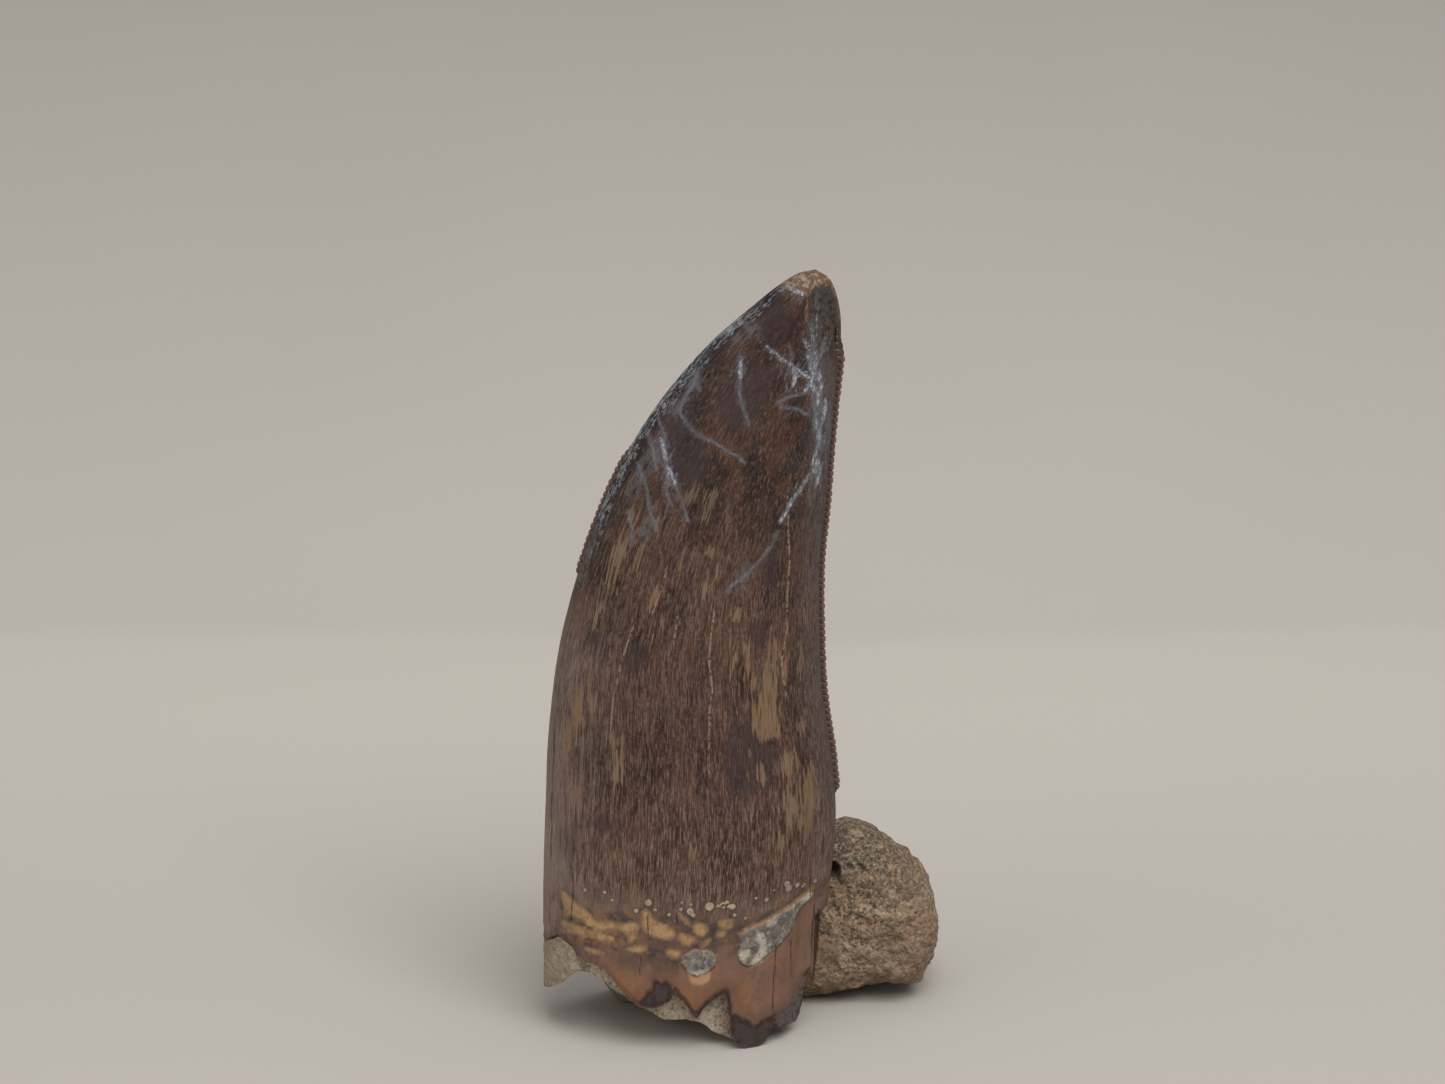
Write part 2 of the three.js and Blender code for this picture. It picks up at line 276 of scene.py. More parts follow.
@dataclass
class Shell:
    """A closed surface: rings of points from one end point to the other, each ring with the same columns.

    Rings run counter-clockwise seen from the end that they advance to, so faces point outwards.
    """

    rings: Array
    start: Array
    end: Array

    def normals(self) -> Array:
        """Outward direction at each ring point: the cross product of the steps round and along the rings.

        Returns:
            Unit vectors in the shape of rings.
        """
        round_step = np.roll(self.rings, -1, axis=1) - np.roll(self.rings, 1, axis=1)
        along = np.gradient(self.rings, axis=0)
        out = np.cross(round_step, along)
        return out / np.maximum(np.linalg.norm(out, axis=-1, keepdims=True), TINY)

    def swell(self, relief: Array) -> None:
        """Moves the ring points outwards by relief in mm."""
        self.rings += self.normals() * relief[..., None]

    def keep_off_floor(self) -> None:
        """Raises what is below z = 0 to it."""
        self.rings[..., 2] = np.maximum(self.rings[..., 2], 0.0)

    def vertices(self) -> Array:
        """All points, ring by ring, and then the two end points."""
        return np.vstack([self.rings.reshape(-1, 3), self.start, self.end])

    def spread(self, values: Array) -> Array:
        """Values given per ring point, with the mean of the first and of the last ring for the end points."""
        flat = values.reshape(-1, *values.shape[2:])
        return np.concatenate([flat, values[:1].mean(axis=1), values[-1:].mean(axis=1)])

    def faces(self) -> tuple[Array, Array]:
        """The faces, as vertex numbers.

        Returns:
            The four-sided ones between rings, and the three-sided ones at the two ends.
        """
        rows, columns = self.rings.shape[:2]
        at = np.arange(rows * columns).reshape(rows, columns)
        beside = np.roll(at, -1, axis=1)
        quads = np.stack([at[:-1], beside[:-1], beside[1:], at[1:]], axis=-1).reshape(-1, 4)
        first = np.full(columns, rows * columns)
        ends = np.vstack([
            np.stack([first, beside[0], at[0]], axis=-1),
            np.stack([first + 1, at[-1], beside[-1]], axis=-1),
        ])
        return quads, ends

    def to_object(self, name: str, fields: dict[str, Array], sharp: float = 180.0) -> bpy.types.Object:
        """Makes the mesh object at the origin, in metres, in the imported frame.

        Args:
            name: the object's name.
            fields: a value (or a vector) for each ring point, kept as mesh attributes.
            sharp: edges that turn by more than this many degrees are shaded as sharp.

        Returns:
            The new object, linked to the scene.
        """
        quads, ends = self.faces()
        corners = np.concatenate([quads.ravel(), ends.ravel()]).astype(np.int32)
        starts = np.concatenate([np.arange(len(quads)) * 4, 4 * len(quads) + np.arange(len(ends)) * 3])
        places = (self.vertices() + SHIFT) * MM
        mesh = bpy.data.meshes.new(name)
        mesh.vertices.add(len(places))
        mesh.vertices.foreach_set("co", places.astype(np.float32).ravel())
        mesh.loops.add(len(corners))
        mesh.loops.foreach_set("vertex_index", corners)
        mesh.polygons.add(len(starts))
        mesh.polygons.foreach_set("loop_start", starts.astype(np.int32))
        mesh.update(calc_edges=True)
        mesh.validate()
        for label, values in fields.items():
            spread = self.spread(values).astype(np.float32)
            vector = spread.ndim == 2
            made = mesh.attributes.new(label, "FLOAT_VECTOR" if vector else "FLOAT", "POINT")
            made.data.foreach_set("vector" if vector else "value", spread.ravel())
        mesh.polygons.foreach_set("use_smooth", np.ones(len(mesh.polygons), dtype=bool))
        if sharp < 180.0:
            mesh.set_sharp_from_angle(angle=math.radians(sharp))
        thing = bpy.data.objects.new(name, mesh)
        bpy.context.scene.collection.objects.link(thing)
        return thing


def join_piece(thing: bpy.types.Object, node: str, finishes: list[bpy.types.Material]) -> None:
    """Puts finishes on a piece, makes it ride on the body, and lets it stand for its CAD node.

    Args:
        thing: the piece.
        node: the CAD node that it stands for.
        finishes: its materials, in the order of its faces' material numbers.
    """
    for finish in finishes:
        thing.data.materials.append(finish)
    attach(thing, "root")
    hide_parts(node)
    log.info("%s: %d faces, finish %s", thing.name, len(thing.data.polygons), finishes[0].name)


# ---------------------------------------------------------------- the tooth's form


@dataclass(frozen=True)
class BrokenSurface:
    """An uneven break, given as outlines of x and z that each hold at one depth y."""

    depths: tuple[float, ...]
    outlines: tuple[Outline, ...]

    def height(self, x: Array, y: Array) -> Array:
        """The break's height: straight along each outline, and straight from one outline's depth to the next.

        Args:
            x: places from mesial to distal in mm.
            y: places from labial to lingual in mm, in the shape of x.

        Returns:
            z in mm.
        """
        levels = [np.interp(x, *np.array(outline).T) for outline in self.outlines]
        height = levels[0]
        for k in range(1, len(levels)):
            share = np.clip((y - self.depths[k - 1]) / (self.depths[k] - self.depths[k - 1]), 0.0, 1.0)
            height = np.where(y > self.depths[k - 1], levels[k - 1] * (1 - share) + levels[k] * share, height)
        return height


WALL_BREAK = BrokenSurface(
    (-2.5, 2.5),
    (
        (
            (-17, 9.0), (-14.4, 9.0), (-13.0, 10.4), (-11.6, 9.9), (-11.0, 9.2), (-10.4, 8.6), (-8.7, 8.3),
            (-7.8, 7.7), (-7.2, 6.8), (-6.1, 5.7), (-5.2, 4.8), (-4.6, 4.5), (-3.2, 4.6), (-1.8, 5.4),
            (-1.5, 6.3), (-0.9, 5.7), (0.0, 4.6), (0.4, 3.8), (0.8, 3.5), (1.4, 4.6), (2.4, 5.4), (3.4, 6.0),
            (4.0, 5.7), (4.1, 1.7), (4.5, 0.8), (5.4, 0.0), (6.8, 0.0), (7.7, 0.6), (8.2, 1.4), (8.3, 2.3),
            (8.5, 1.9), (9.6, 1.2), (10.6, 1.0), (10.95, 1.8), (11.25, 3.4), (11.6, 4.9), (11.95, 6.0),
            (12.04, 6.8), (12.28, 11.6), (12.9, 12.3), (17, 11.4),
        ),
        (
            (-17, 9.0), (-14.4, 8.6), (-12.6, 6.2), (-10.6, 4.7), (-9.6, 3.6), (-8.6, 1.3), (-7.9, 0.0),
            (-4.6, 0.0), (-3.6, 1.8), (-2.2, 3.8), (0.6, 3.0), (2.2, 3.8), (3.8, 6.4), (7.5, 8.6),
            (10.6, 10.6), (12.4, 12.8), (17, 11.4),
        ),
    ),
)

PLUG_BREAK = BrokenSurface(
    (-7.5, 0.5, 4.0),
    (
        (
            (-17, 5.2), (-14.4, 5.2), (-12.9, 5.6), (-12.2, 6.1), (-11.8, 6.9), (-11.1, 7.7), (-9.9, 7.3),
            (-8.7, 6.7), (-7.4, 5.7), (-6.2, 4.8), (-4.0, 3.7), (-2.4, 2.9), (0.9, 2.8), (2.3, 1.7),
            (3.7, 0.9), (5.0, 0.0), (6.2, 0.0), (8.6, 1.0), (11.0, 3.6), (17, 8.8),
        ),
        (
            (-17, 3.3), (-14.0, 3.6), (-12.6, 4.8), (-12.2, 5.6), (-9.8, 6.0), (-7.4, 3.8), (-5.2, 1.6),
            (-3.2, 0.0), (6.4, 0.0), (9.0, 1.0), (12.0, 4.2), (17, 8.8),
        ),
        (
            (-17, 3.3), (-13.2, 4.4), (-11.8, 5.0), (-10.4, 4.7), (-8.9, 2.4), (-7.7, 0.5), (-6.8, 0.0),
            (4.8, 0.0), (8.0, 1.6), (11.0, 4.2), (17, 8.8),
        ),
    ),
)

STATIONS = np.array([
    (-14.5, -4.0, 12.4, -4.0, 18.4), (-14.7, 5.0, 13.1, 4.5, 18.8), (-14.6, 13.0, 13.75, 12.5, 18.6),
    (-14.3, 21.4, 14.45, 20.5, 18.0), (-13.95, 28.8, 14.1, 27.0, 17.2), (-13.05, 36.6, 13.1, 34.0, 16.2),
    (-11.5, 43.6, 12.75, 41.0, 15.0), (-9.25, 50.6, 12.75, 47.3, 13.6), (-6.35, 57.2, 13.3, 53.3, 12.0),
    (-2.55, 63.2, 13.7, 59.2, 10.2), (2.0, 68.5, 14.25, 65.0, 8.2), (6.7, 72.6, 14.8, 69.5, 6.4),
    (8.6, 74.1, 14.8, 72.0, 5.3), (10.2, 75.1, 14.1, 74.1, 3.7), (11.2, 75.4, 13.2, 75.0, 1.9),
    (12.2, 75.5, 12.2, 75.5, 0.0),
])


@dataclass(frozen=True)
class BladeForm:
    """The curved blade: slices from root to tip, each an oval with a flattened strip beside the rear edge."""

    wall: float = 1.5
    labial_share: float = 0.52
    tip_lean: float = 1.8
    flat_start: float = 0.7
    flat_depth: float = 0.14
    hollow_top: float = 2.2 / 15
    hollow_closing: float = 6.1
    hollow_peak: Point = (-0.6, 0.0, 17.5)
    facet_point: Point = (12.0, -0.7, 73.0)
    facet_normal: Point = (0.72, -0.66, 0.2)
    facet_softness: float = 0.55
    longest_hang: float = 0.9
    search_top: float = 0.3
    search_steps: int = 901
    length_steps: int = 1501

    def depth_share(self, along: Array, across: Array) -> Array:
        """The depth's share of the half thickness: the angle's sine less a dip on the flat strip."""
        strip = np.clip((along - self.flat_start) / (1 - self.flat_start), 0.0, 1.0)
        return across - np.sign(across) * self.flat_depth * np.sin(np.pi * strip) ** 2

    def point(self, t: Array, angle: Array, inset: Array | float = 0.0) -> Array:
        """The blade's surface, t from root 0 to tip 1, angle 0 at the rear edge and pi at the front one.

        The slice's middle, plus its chord direction times cos(angle) times the half chord, plus the blade's
        lean tip_lean t^3 and the depth share times the half thickness along Y.

        Args:
            t: how far up.
            angle: how far round, in radians, in a shape that goes with t.
            inset: how far both half sizes are made smaller in mm.

        Returns:
            Points in mm.
        """
        t, angle, inset = np.broadcast_arrays(t, angle, inset)
        s = catmull_rom(STATIONS, t)
        zero = np.zeros_like(s[..., 0])
        mesial = np.stack([s[..., 0], zero, s[..., 1]], axis=-1)
        distal = np.stack([s[..., 2], zero, s[..., 3]], axis=-1)
        chord = distal - mesial
        length = np.linalg.norm(chord, axis=-1)
        half_chord = np.maximum(length / 2 - inset, 0.0)
        half_thickness = np.maximum(s[..., 4] / 2 - inset, 0.0)
        across = np.sin(angle)
        side = np.where(across < 0, self.labial_share, 1 - self.labial_share)
        direction = chord / np.maximum(length, TINY)[..., None]
        found = (mesial + distal) / 2 + direction * (np.cos(angle) * half_chord)[..., None]
        depth = 2 * side * half_thickness * self.depth_share(np.cos(angle), across)
        found[..., 1] += self.tip_lean * t**3 + depth
        return found

    def mid_lengths(self) -> tuple[Array, Array]:
        """The length of the middle line from the root up.

        Returns:
            Shares t, and the length up to each in mm.
        """
        t = np.linspace(0.0, 1.0, self.length_steps)
        s = catmull_rom(STATIONS, t)
        middle = (s[:, :2] + s[:, 2:4]) / 2
        steps = np.linalg.norm(np.diff(middle, axis=0), axis=1)
        return t, np.concatenate([[0.0], np.cumsum(steps)])

    def share_at_height(self, height: Array | float, table_t: Array) -> Array:
        """Share t at which the middle line has a height in mm, read from the shares in table_t."""
        table = catmull_rom(STATIONS, table_t)
        return np.interp(height, (table[:, 1] + table[:, 3]) / 2, table_t)

    def share_at(self, angle: Array, inset: Array | float, floor: BrokenSurface) -> Array:
        """The lowest share t of each column that is still above a break, searched from the top down.

        Args:
            angle: each column's angle.
            inset: how far the columns stand inside the surface in mm.
            floor: the break.

        Returns:
            t of each column.
        """
        t = np.linspace(0.0, self.search_top, self.search_steps)
        column = self.point(t[:, None], angle[None, :], inset)
        over = column[..., 2] - floor.height(column[..., 0], column[..., 1])
        low = np.argmax(over[::-1] < 0, axis=0)
        low = np.clip(len(t) - 1 - low, 0, len(t) - 2)
        pick = np.arange(len(angle))
        under, above = over[low, pick], over[low + 1, pick]
        return t[low] + (t[1] - t[0]) * np.clip(-under / np.maximum(above - under, 1e-6), 0.0, 1.0)

    def inner_share(self, angle: Array, inset: Array | float) -> Array:
        """Where the wall's break ends at a depth in from the surface, never far below its outer edge.

        Args:
            angle: turns around the section.
            inset: how far in from the surface, in mm.

        Returns:
            t at that edge, in the shape of angle.
        """
        share = self.share_at(angle, inset, WALL_BREAK)
        rim = self.point(self.share_at(angle, 0.0, WALL_BREAK), angle)[..., 2]
        height = self.point(share, angle, inset)[..., 2]
        hanging = np.maximum(rim - self.longest_hang - height, 0.0)
        probe = 0.01
        per_mm = probe / (self.point(share + probe, angle, inset)[..., 2] - height)
        return share + hanging * per_mm

    def beyond_facet(self, points: Array) -> tuple[Array, Array]:
        """How far points stand beyond the wear facet's plane.

        Args:
            points: places in mm.

        Returns:
            The distances in mm, and the plane's direction.
        """
        normal = np.array(self.facet_normal)
        normal = normal / np.linalg.norm(normal)
        return (points - np.array(self.facet_point)) @ normal, normal

    def push_out(self, points: Array, clearance: float) -> Array:
        """Moves points that lie inside the lower blade straight out from its middle line to its surface.

        A point's share t comes from its height, its offset from the slice's middle is multiplied by the
        smallest factor that takes it out of the oval, and that factor is found by halving.

        Args:
            points: places in mm, none above the crown's lower half.
            clearance: how far outside the surface they end up in mm.

        Returns:
            The moved places.
        """
        t = self.share_at_height(points[..., 2], np.linspace(0.0, 0.6, 601))
        s = catmull_rom(STATIONS, t)
        half_chord = (s[..., 2] - s[..., 0]) / 2 + clearance
        half_thickness = s[..., 4] / 2 + clearance
        middle = (s[..., 2] + s[..., 0]) / 2
        off_x = points[..., 0] - middle
        off_y = points[..., 1] - self.tip_lean * t**3
        side = np.where(off_y < 0, self.labial_share, 1 - self.labial_share)

        def is_inside(factor: Array) -> Array:
            """Whether the offset times factor is still inside the oval.

            Args:
                factor: one for each place.

            Returns:
                Whether each is inside.
            """
            along = np.clip(off_x * factor / half_chord, -1.0, 1.0)
            edge = 2 * side * half_thickness * self.depth_share(along, np.sqrt(1 - along**2))
            return (np.abs(off_x * factor) < half_chord) & (np.abs(off_y * factor) < np.maximum(edge, 0.0))

        widest_factor, halvings = 40.0, 22
        low = np.ones_like(off_x)
        high = np.full_like(off_x, widest_factor)
        inside = is_inside(low)
        for _ in range(halvings):
            half = (low + high) / 2
            still = is_inside(half)
            low, high = np.where(still, half, low), np.where(still, high, half)
        factor = np.where(inside, high, 1.0)
        moved = points.copy()
        moved[..., 0] = middle + off_x * factor
        moved[..., 1] = self.tip_lean * t**3 + off_y * factor
        return moved


# ---------------------------------------------------------------- the crown's marks


@dataclass(frozen=True)
class FaceMarks:
    """The marks of one face of the tooth, in x and z in mm: lines, ovals and outlines."""

    veins: tuple[Outline, ...]
    wisps: tuple[Outline, ...]
    hairlines: tuple[Outline, ...]
    cracks: tuple[Outline, ...]
    tan_blots: Blots
    dusk_blots: Blots
    haze_blots: Blots
    cream: tuple[Outline, ...]
    crust: tuple[Outline, ...]
    crust_pale: tuple[Outline, ...]
    crust_foot: tuple[Outline, ...]
    burnt: tuple[Outline, ...]
    beads: tuple[Point, ...]
    glaze_edge: Outline
    band_edge: Outline


LABIAL_MARKS = FaceMarks(
    veins=(
        ((12.3, 73.5), (12.3, 72.2), (12.2, 71.1), (12.1, 69.9), (12.1, 68.4), (12.2, 66.9), (12.1, 66.3)),
        ((12.1, 66.3), (11.6, 65.5), (11.2, 64.7)),
        (
            (11.8, 65.2), (12.3, 64.1), (12.1, 62.9), (12.1, 61.7), (12.4, 60.3), (12.4, 59.1), (12.0, 57.9),
            (11.9, 57.2), (12.2, 56.6),
        ),
        ((11.5, 56.4), (11.0, 55.6), (10.4, 54.8), (10.0, 54.4), (9.5, 53.5), (8.8, 52.3)),
        ((7.5, 68.8), (8.1, 68.4), (8.9, 67.7), (9.9, 67.1), (10.8, 66.3), (11.6, 65.7)),
        ((10.0, 66.8), (10.2, 66.2), (10.0, 65.3)), ((5.0, 67.7), (4.9, 66.9), (5.0, 66.2)),
        ((11.8, 71.6), (11.7, 70.2), (11.8, 68.8), (12.0, 67.4), (11.8, 66.6)),
        ((12.5, 66.0), (12.7, 64.7), (12.4, 63.4), (12.5, 62.4)), ((12.3, 57.6), (12.6, 56.4), (12.3, 55.2)),
        ((13.1, 63.3), (13.1, 62.4), (12.9, 61.5), (12.6, 60.9), (12.5, 59.4)),
        ((13.1, 69.3), (12.8, 68.3), (12.5, 67.5)), ((11.0, 69.4), (11.3, 68.5), (11.5, 67.6), (11.6, 66.4)),
        ((-2.6, 59.9), (-2.3, 59.0), (-2.1, 58.2)), ((-1.9, 57.4), (-1.7, 57.0), (-1.3, 56.1)),
        ((9.7, 74.2), (10.3, 73.9), (11.0, 73.7)),
    ),
    wisps=(
        ((8.5, 51.3), (7.9, 50.0), (6.8, 48.7), (5.3, 47.2), (4.0, 46.3)),
        (
            (0.9, 66.2), (0.4, 64.9), (-0.3, 64.0), (-0.8, 62.5), (-0.1, 61.5), (0.9, 60.6), (2.1, 60.2),
            (2.9, 59.8), (3.7, 59.2), (4.7, 58.8), (5.3, 58.2),
        ),
        ((5.0, 66.2), (4.9, 64.8), (5.0, 63.9), (5.3, 63.0), (5.6, 62.3), (5.7, 61.7)),
        ((8.5, 63.7), (9.2, 64.1), (10.1, 64.3), (11.5, 64.5)), ((8.8, 63.2), (10.4, 63.0), (11.5, 62.3)),
        ((-2.1, 58.2), (-1.9, 57.4)), ((-1.3, 56.1), (-0.8, 54.9), (-0.5, 54.1), (0.0, 52.7)),
        ((-2.3, 58.6), (-1.9, 56.5), (-2.1, 55.2), (-1.6, 54.1)), ((-4.2, 61.0), (-3.4, 59.0), (-3.0, 57.2)),
        ((11.8, 68.6), (11.7, 66.8), (12.0, 65.0), (11.8, 63.2)),
        ((12.6, 64.6), (12.7, 62.6), (12.3, 60.6), (12.6, 58.8)), ((12.0, 56.6), (11.6, 54.9), (11.7, 53.4)),
        ((-4.8, 57.4), (-3.9, 55.2), (-3.7, 53.4), (-3.0, 51.8)), ((-2.8, 61.6), (-2.2, 60.1), (-2.4, 58.6)),
        ((9.6, 68.9), (9.9, 68.1), (9.7, 67.2)), ((-5.8, 53.0), (-5.3, 51.4), (-5.5, 50.0)),
    ),
    hairlines=(
        (
            (2.5, 44.0), (2.1, 41.3), (2.0, 38.8), (2.3, 36.5), (2.0, 34.3), (2.0, 31.6), (1.9, 30.2),
            (2.0, 28.1),
        ),
        (
            (9.7, 56.6), (9.4, 54.3), (9.7, 48.4), (9.4, 43.9), (9.5, 42.0), (9.1, 39.6), (8.9, 38.2),
            (9.4, 35.2),
        ),
        ((-5.2, 42.6), (-6.4, 39.1), (-7.2, 35.5), (-7.5, 32.4)), ((-1.0, 43.6), (-1.4, 40.9)),
        ((-2.0, 48.1), (-2.7, 45.8), (-3.4, 43.8)),
        ((9.4, 66.5), (8.8, 65.3), (8.2, 63.9), (7.8, 62.5), (7.0, 61.1), (6.8, 58.4)),
    ),
    cracks=(
        ((-11.4, 16.6), (-11.4, 15.0), (-11.6, 12.6)), ((-13.1, 31.0), (-13.5, 23.7), (-13.6, 17.7)),
        ((11.9, 16.7), (11.9, 14.1)), ((8.5, 10.1), (8.3, 6.2), (8.2, 3.6)), ((10.0, 10.4), (10.1, 6.6)),
        ((-4.0, 14.0), (-4.0, 12.2)), ((-1.2, 14.4), (-1.2, 13.4)), ((-4.7, 9.6), (-4.8, 8.2)),
    ),
    tan_blots=(
        (-5.4, 52.5, 0.45, 0.9, 24), (-6.9, 48.4, 0.45, 2.9, 18), (1.9, 54.2, 0.44, 1.25, 14),
        (-2.5, 52.4, 0.29, 0.8, 18), (2.1, 49.7, 0.6, 0.6, 0), (2.4, 47.0, 0.34, 1.6, 35),
        (-0.5, 48.6, 0.29, 0.8, 14), (0.4, 48.8, 0.29, 0.75, 14), (-3.4, 44.7, 0.29, 1.0, 14),
        (-8.5, 43.9, 0.29, 1.45, 14), (0.4, 55.2, 0.39, 0.85, 22), (7.5, 35.0, 1.05, 3.7, 0),
        (7.6, 32.6, 1.35, 1.7, 0), (5.6, 39.6, 0.45, 1.4, 0), (4.3, 38.8, 0.27, 1.6, 4),
        (9.2, 38.2, 0.34, 1.2, 0), (4.7, 43.5, 0.7, 0.5, 0), (-3.5, 42.3, 0.29, 0.9, 12),
        (-2.6, 43.0, 0.24, 0.7, 10), (9.7, 28.8, 0.78, 1.8, 0), (11.6, 24.2, 0.95, 3.2, 2),
        (9.8, 24.2, 0.85, 2.1, 0), (-10.8, 33.4, 0.6, 2.2, 8), (-9.3, 34.1, 0.25, 1.2, 5),
        (-9.4, 37.4, 0.25, 1.2, 8), (-6.8, 28.5, 0.5, 2.4, 3), (7.0, 28.1, 0.39, 0.8, 0),
        (0.3, 20.3, 0.35, 1.2, 0), (-11.0, 25.6, 0.45, 1.2, 2), (10.8, 38.1, 0.3, 1.0, 0),
        (10.8, 31.5, 0.35, 0.6, 0), (-7.6, 31.2, 0.29, 1.0, 2), (6.4, 23.9, 0.35, 0.8, 0),
        (8.8, 20.6, 0.5, 1.2, 0), (-4.6, 48.7, 0.29, 0.85, 16), (-5.9, 55.8, 0.25, 1.0, 26),
        (6.4, 37.0, 0.3, 0.9, 0), (8.2, 40.4, 0.3, 1.1, 0), (-11.9, 30.2, 0.3, 1.3, 4),
        (3.6, 52.6, 0.28, 0.9, 16),
    ),
    dusk_blots=(
        (5.9, 29.4, 2.6, 3.6, 0), (6.9, 41.4, 0.9, 1.3, 0), (-5.4, 39.4, 1.2, 1.4, 10),
        (-9.2, 40.5, 0.8, 1.2, 10), (-8.2, 22.8, 1.6, 0.9, 0), (0.2, 57.4, 1.6, 2.6, 25),
        (8.2, 71.0, 1.6, 1.8, 40), (5.4, 64.4, 2.0, 3.4, 30), (-1.0, 61.2, 1.2, 2.4, 30),
        (8.0, 47.6, 0.8, 1.6, 6), (-12.0, 20.5, 0.9, 1.6, 0),
    ),
    haze_blots=(
        (-3.9, 51.8, 0.45, 1.3, 22), (5.2, 47.2, 0.35, 0.8, 20), (4.1, 46.3, 0.4, 0.5, 30),
        (6.0, 70.3, 0.7, 0.7, 45), (12.6, 65.2, 0.6, 2.2, 0), (0.4, 65.2, 0.6, 1.1, 25),
        (-1.2, 62.9, 0.6, 1.0, 30), (-3.1, 58.8, 0.8, 1.6, 25), (-1.9, 56.2, 0.35, 1.4, -14),
        (12.2, 61.2, 0.4, 1.6, 0), (9.9, 66.6, 0.7, 0.5, 0), (5.0, 67.0, 0.3, 0.9, 0),
        (13.6, 60.0, 0.5, 2.4, 0), (4.6, 69.4, 0.5, 0.7, 45), (-5.0, 55.6, 0.4, 1.2, 25),
    ),
    cream=(
        (
            (-12.6, 15.3), (-11.7, 14.8), (-11.0, 14.2), (-9.7, 13.6), (-9.4, 12.9), (-7.6, 13.1),
            (-6.3, 13.0), (-5.2, 13.4), (-4.9, 13.0), (-5.1, 11.8), (-5.7, 11.2), (-6.3, 12.4), (-7.9, 12.4),
            (-8.7, 11.9), (-9.7, 12.4), (-11.1, 12.9), (-12.0, 13.0), (-12.4, 13.9),
        ),
        (
            (-12.6, 12.2), (-11.2, 12.0), (-9.7, 11.9), (-7.5, 11.7), (-7.2, 11.3), (-7.8, 11.0),
            (-8.8, 11.2), (-10.9, 11.2), (-12.5, 11.4),
        ),
        (
            (-4.4, 14.6), (-3.8, 14.5), (-3.4, 13.6), (-1.3, 12.8), (-1.5, 11.7), (-2.8, 11.8), (-3.9, 12.3),
            (-4.5, 12.6), (-4.6, 14.1),
        ),
        ((-1.4, 14.7), (-1.0, 14.6), (0.2, 13.4), (-0.1, 13.2)),
        ((0.3, 13.2), (0.9, 13.4), (1.7, 13.2), (1.9, 12.7), (1.3, 12.2), (0.6, 12.3)),
        ((-1.1, 12.0), (-0.6, 12.4), (0.3, 12.1), (0.7, 11.7), (0.1, 11.2), (-0.9, 11.6)),
        ((1.1, 11.2), (2.2, 11.9), (2.0, 11.4), (1.3, 10.8)),
        ((2.7, 12.4), (3.7, 12.6), (3.5, 12.0), (2.7, 11.9)), ((-2.5, 10.8), (-0.6, 10.6), (-1.4, 9.5)),
        ((-6.3, 10.6), (-4.2, 11.1), (-4.0, 10.5), (-5.7, 10.3)),
        ((2.9, 13.7), (4.3, 13.7), (4.2, 12.7), (3.0, 12.7)),
        ((-10.2, 10.1), (-8.3, 9.9), (-8.4, 9.5), (-10.2, 9.7)),
        (
            (4.7, 12.1), (6.2, 12.8), (7.6, 13.2), (9.0, 14.0), (11.9, 15.0), (12.5, 14.6), (9.2, 13.5),
            (7.4, 12.8), (5.0, 11.8),
        ),
    ),
    crust=(
        (
            (4.8, 10.0), (4.9, 12.0), (6.2, 12.6), (7.4, 12.9), (8.9, 13.6), (11.9, 14.6), (12.4, 14.1),
            (10.4, 12.7), (10.2, 11.7), (9.4, 10.7), (7.4, 9.2), (5.9, 8.4), (4.9, 9.1),
        ),
        (
            (-0.7, 10.1), (1.0, 10.9), (2.6, 10.2), (2.7, 9.0), (1.7, 8.3), (0.7, 7.9), (-0.2, 8.5),
            (-0.9, 9.4),
        ),
    ),
    crust_pale=(
        ((4.7, 10.4), (5.8, 10.4), (6.0, 9.5), (5.0, 9.2)),
        ((6.4, 12.3), (6.9, 12.4), (7.7, 10.2), (7.1, 9.3), (6.2, 8.6), (5.9, 9.0), (6.9, 10.1)),
        ((7.4, 12.9), (8.4, 13.1), (8.5, 12.4), (7.5, 12.4)),
        ((-0.3, 8.9), (0.7, 8.4), (2.3, 8.9), (1.7, 8.2), (0.7, 7.9), (-0.1, 8.3)),
        ((11.0, 14.3), (12.2, 14.4), (12.0, 13.8), (11.0, 13.6)),
    ),
    crust_foot=(
        ((-0.1, 8.3), (0.7, 7.9), (2.2, 8.5), (2.0, 7.5), (1.3, 7.0), (0.2, 7.2)),
        ((5.6, 8.7), (6.0, 8.3), (7.4, 9.1), (9.2, 10.4), (9.4, 10.9), (7.4, 9.5)),
    ),
    burnt=(
        (
            (-5.1, 4.9), (-4.5, 5.7), (-4.1, 6.3), (-3.6, 6.6), (-3.5, 7.4), (-3.1, 7.7), (-2.7, 7.2),
            (-2.3, 7.6), (-1.8, 7.1), (-1.5, 6.2), (-1.7, 5.4), (-2.8, 4.8), (-4.2, 4.6),
        ),
        ((1.6, 5.2), (2.8, 6.4), (3.9, 6.7), (4.2, 4.5), (3.0, 3.6), (0.4, 2.6), (0.4, 4.2)),
        ((4.0, 4.2), (5.2, 3.2), (6.6, 2.2), (7.6, 3.0), (8.3, 3.0), (8.2, -0.6), (4.0, -0.6)),
        (
            (11.3, 5.3), (10.7, 3.8), (9.7, 3.2), (8.2, 3.4), (8.1, 2.3), (9.2, 1.1), (11.0, 0.0),
            (11.2, 2.8), (11.6, 4.7),
        ),
    ),
    beads=(
        (-3.91, 15.41, 0.34), (-5.12, 14.5, 0.24), (-3.26, 14.72, 0.2), (-0.67, 15.51, 0.16),
        (-0.78, 14.84, 0.2), (0.11, 14.65, 0.34), (0.46, 14.23, 0.2), (1.99, 15.12, 0.42), (2.87, 15.1, 0.2),
        (3.36, 14.92, 0.2), (3.71, 15.42, 0.2), (4.22, 14.91, 0.3), (9.53, 16.55, 0.3), (9.71, 16.04, 0.34),
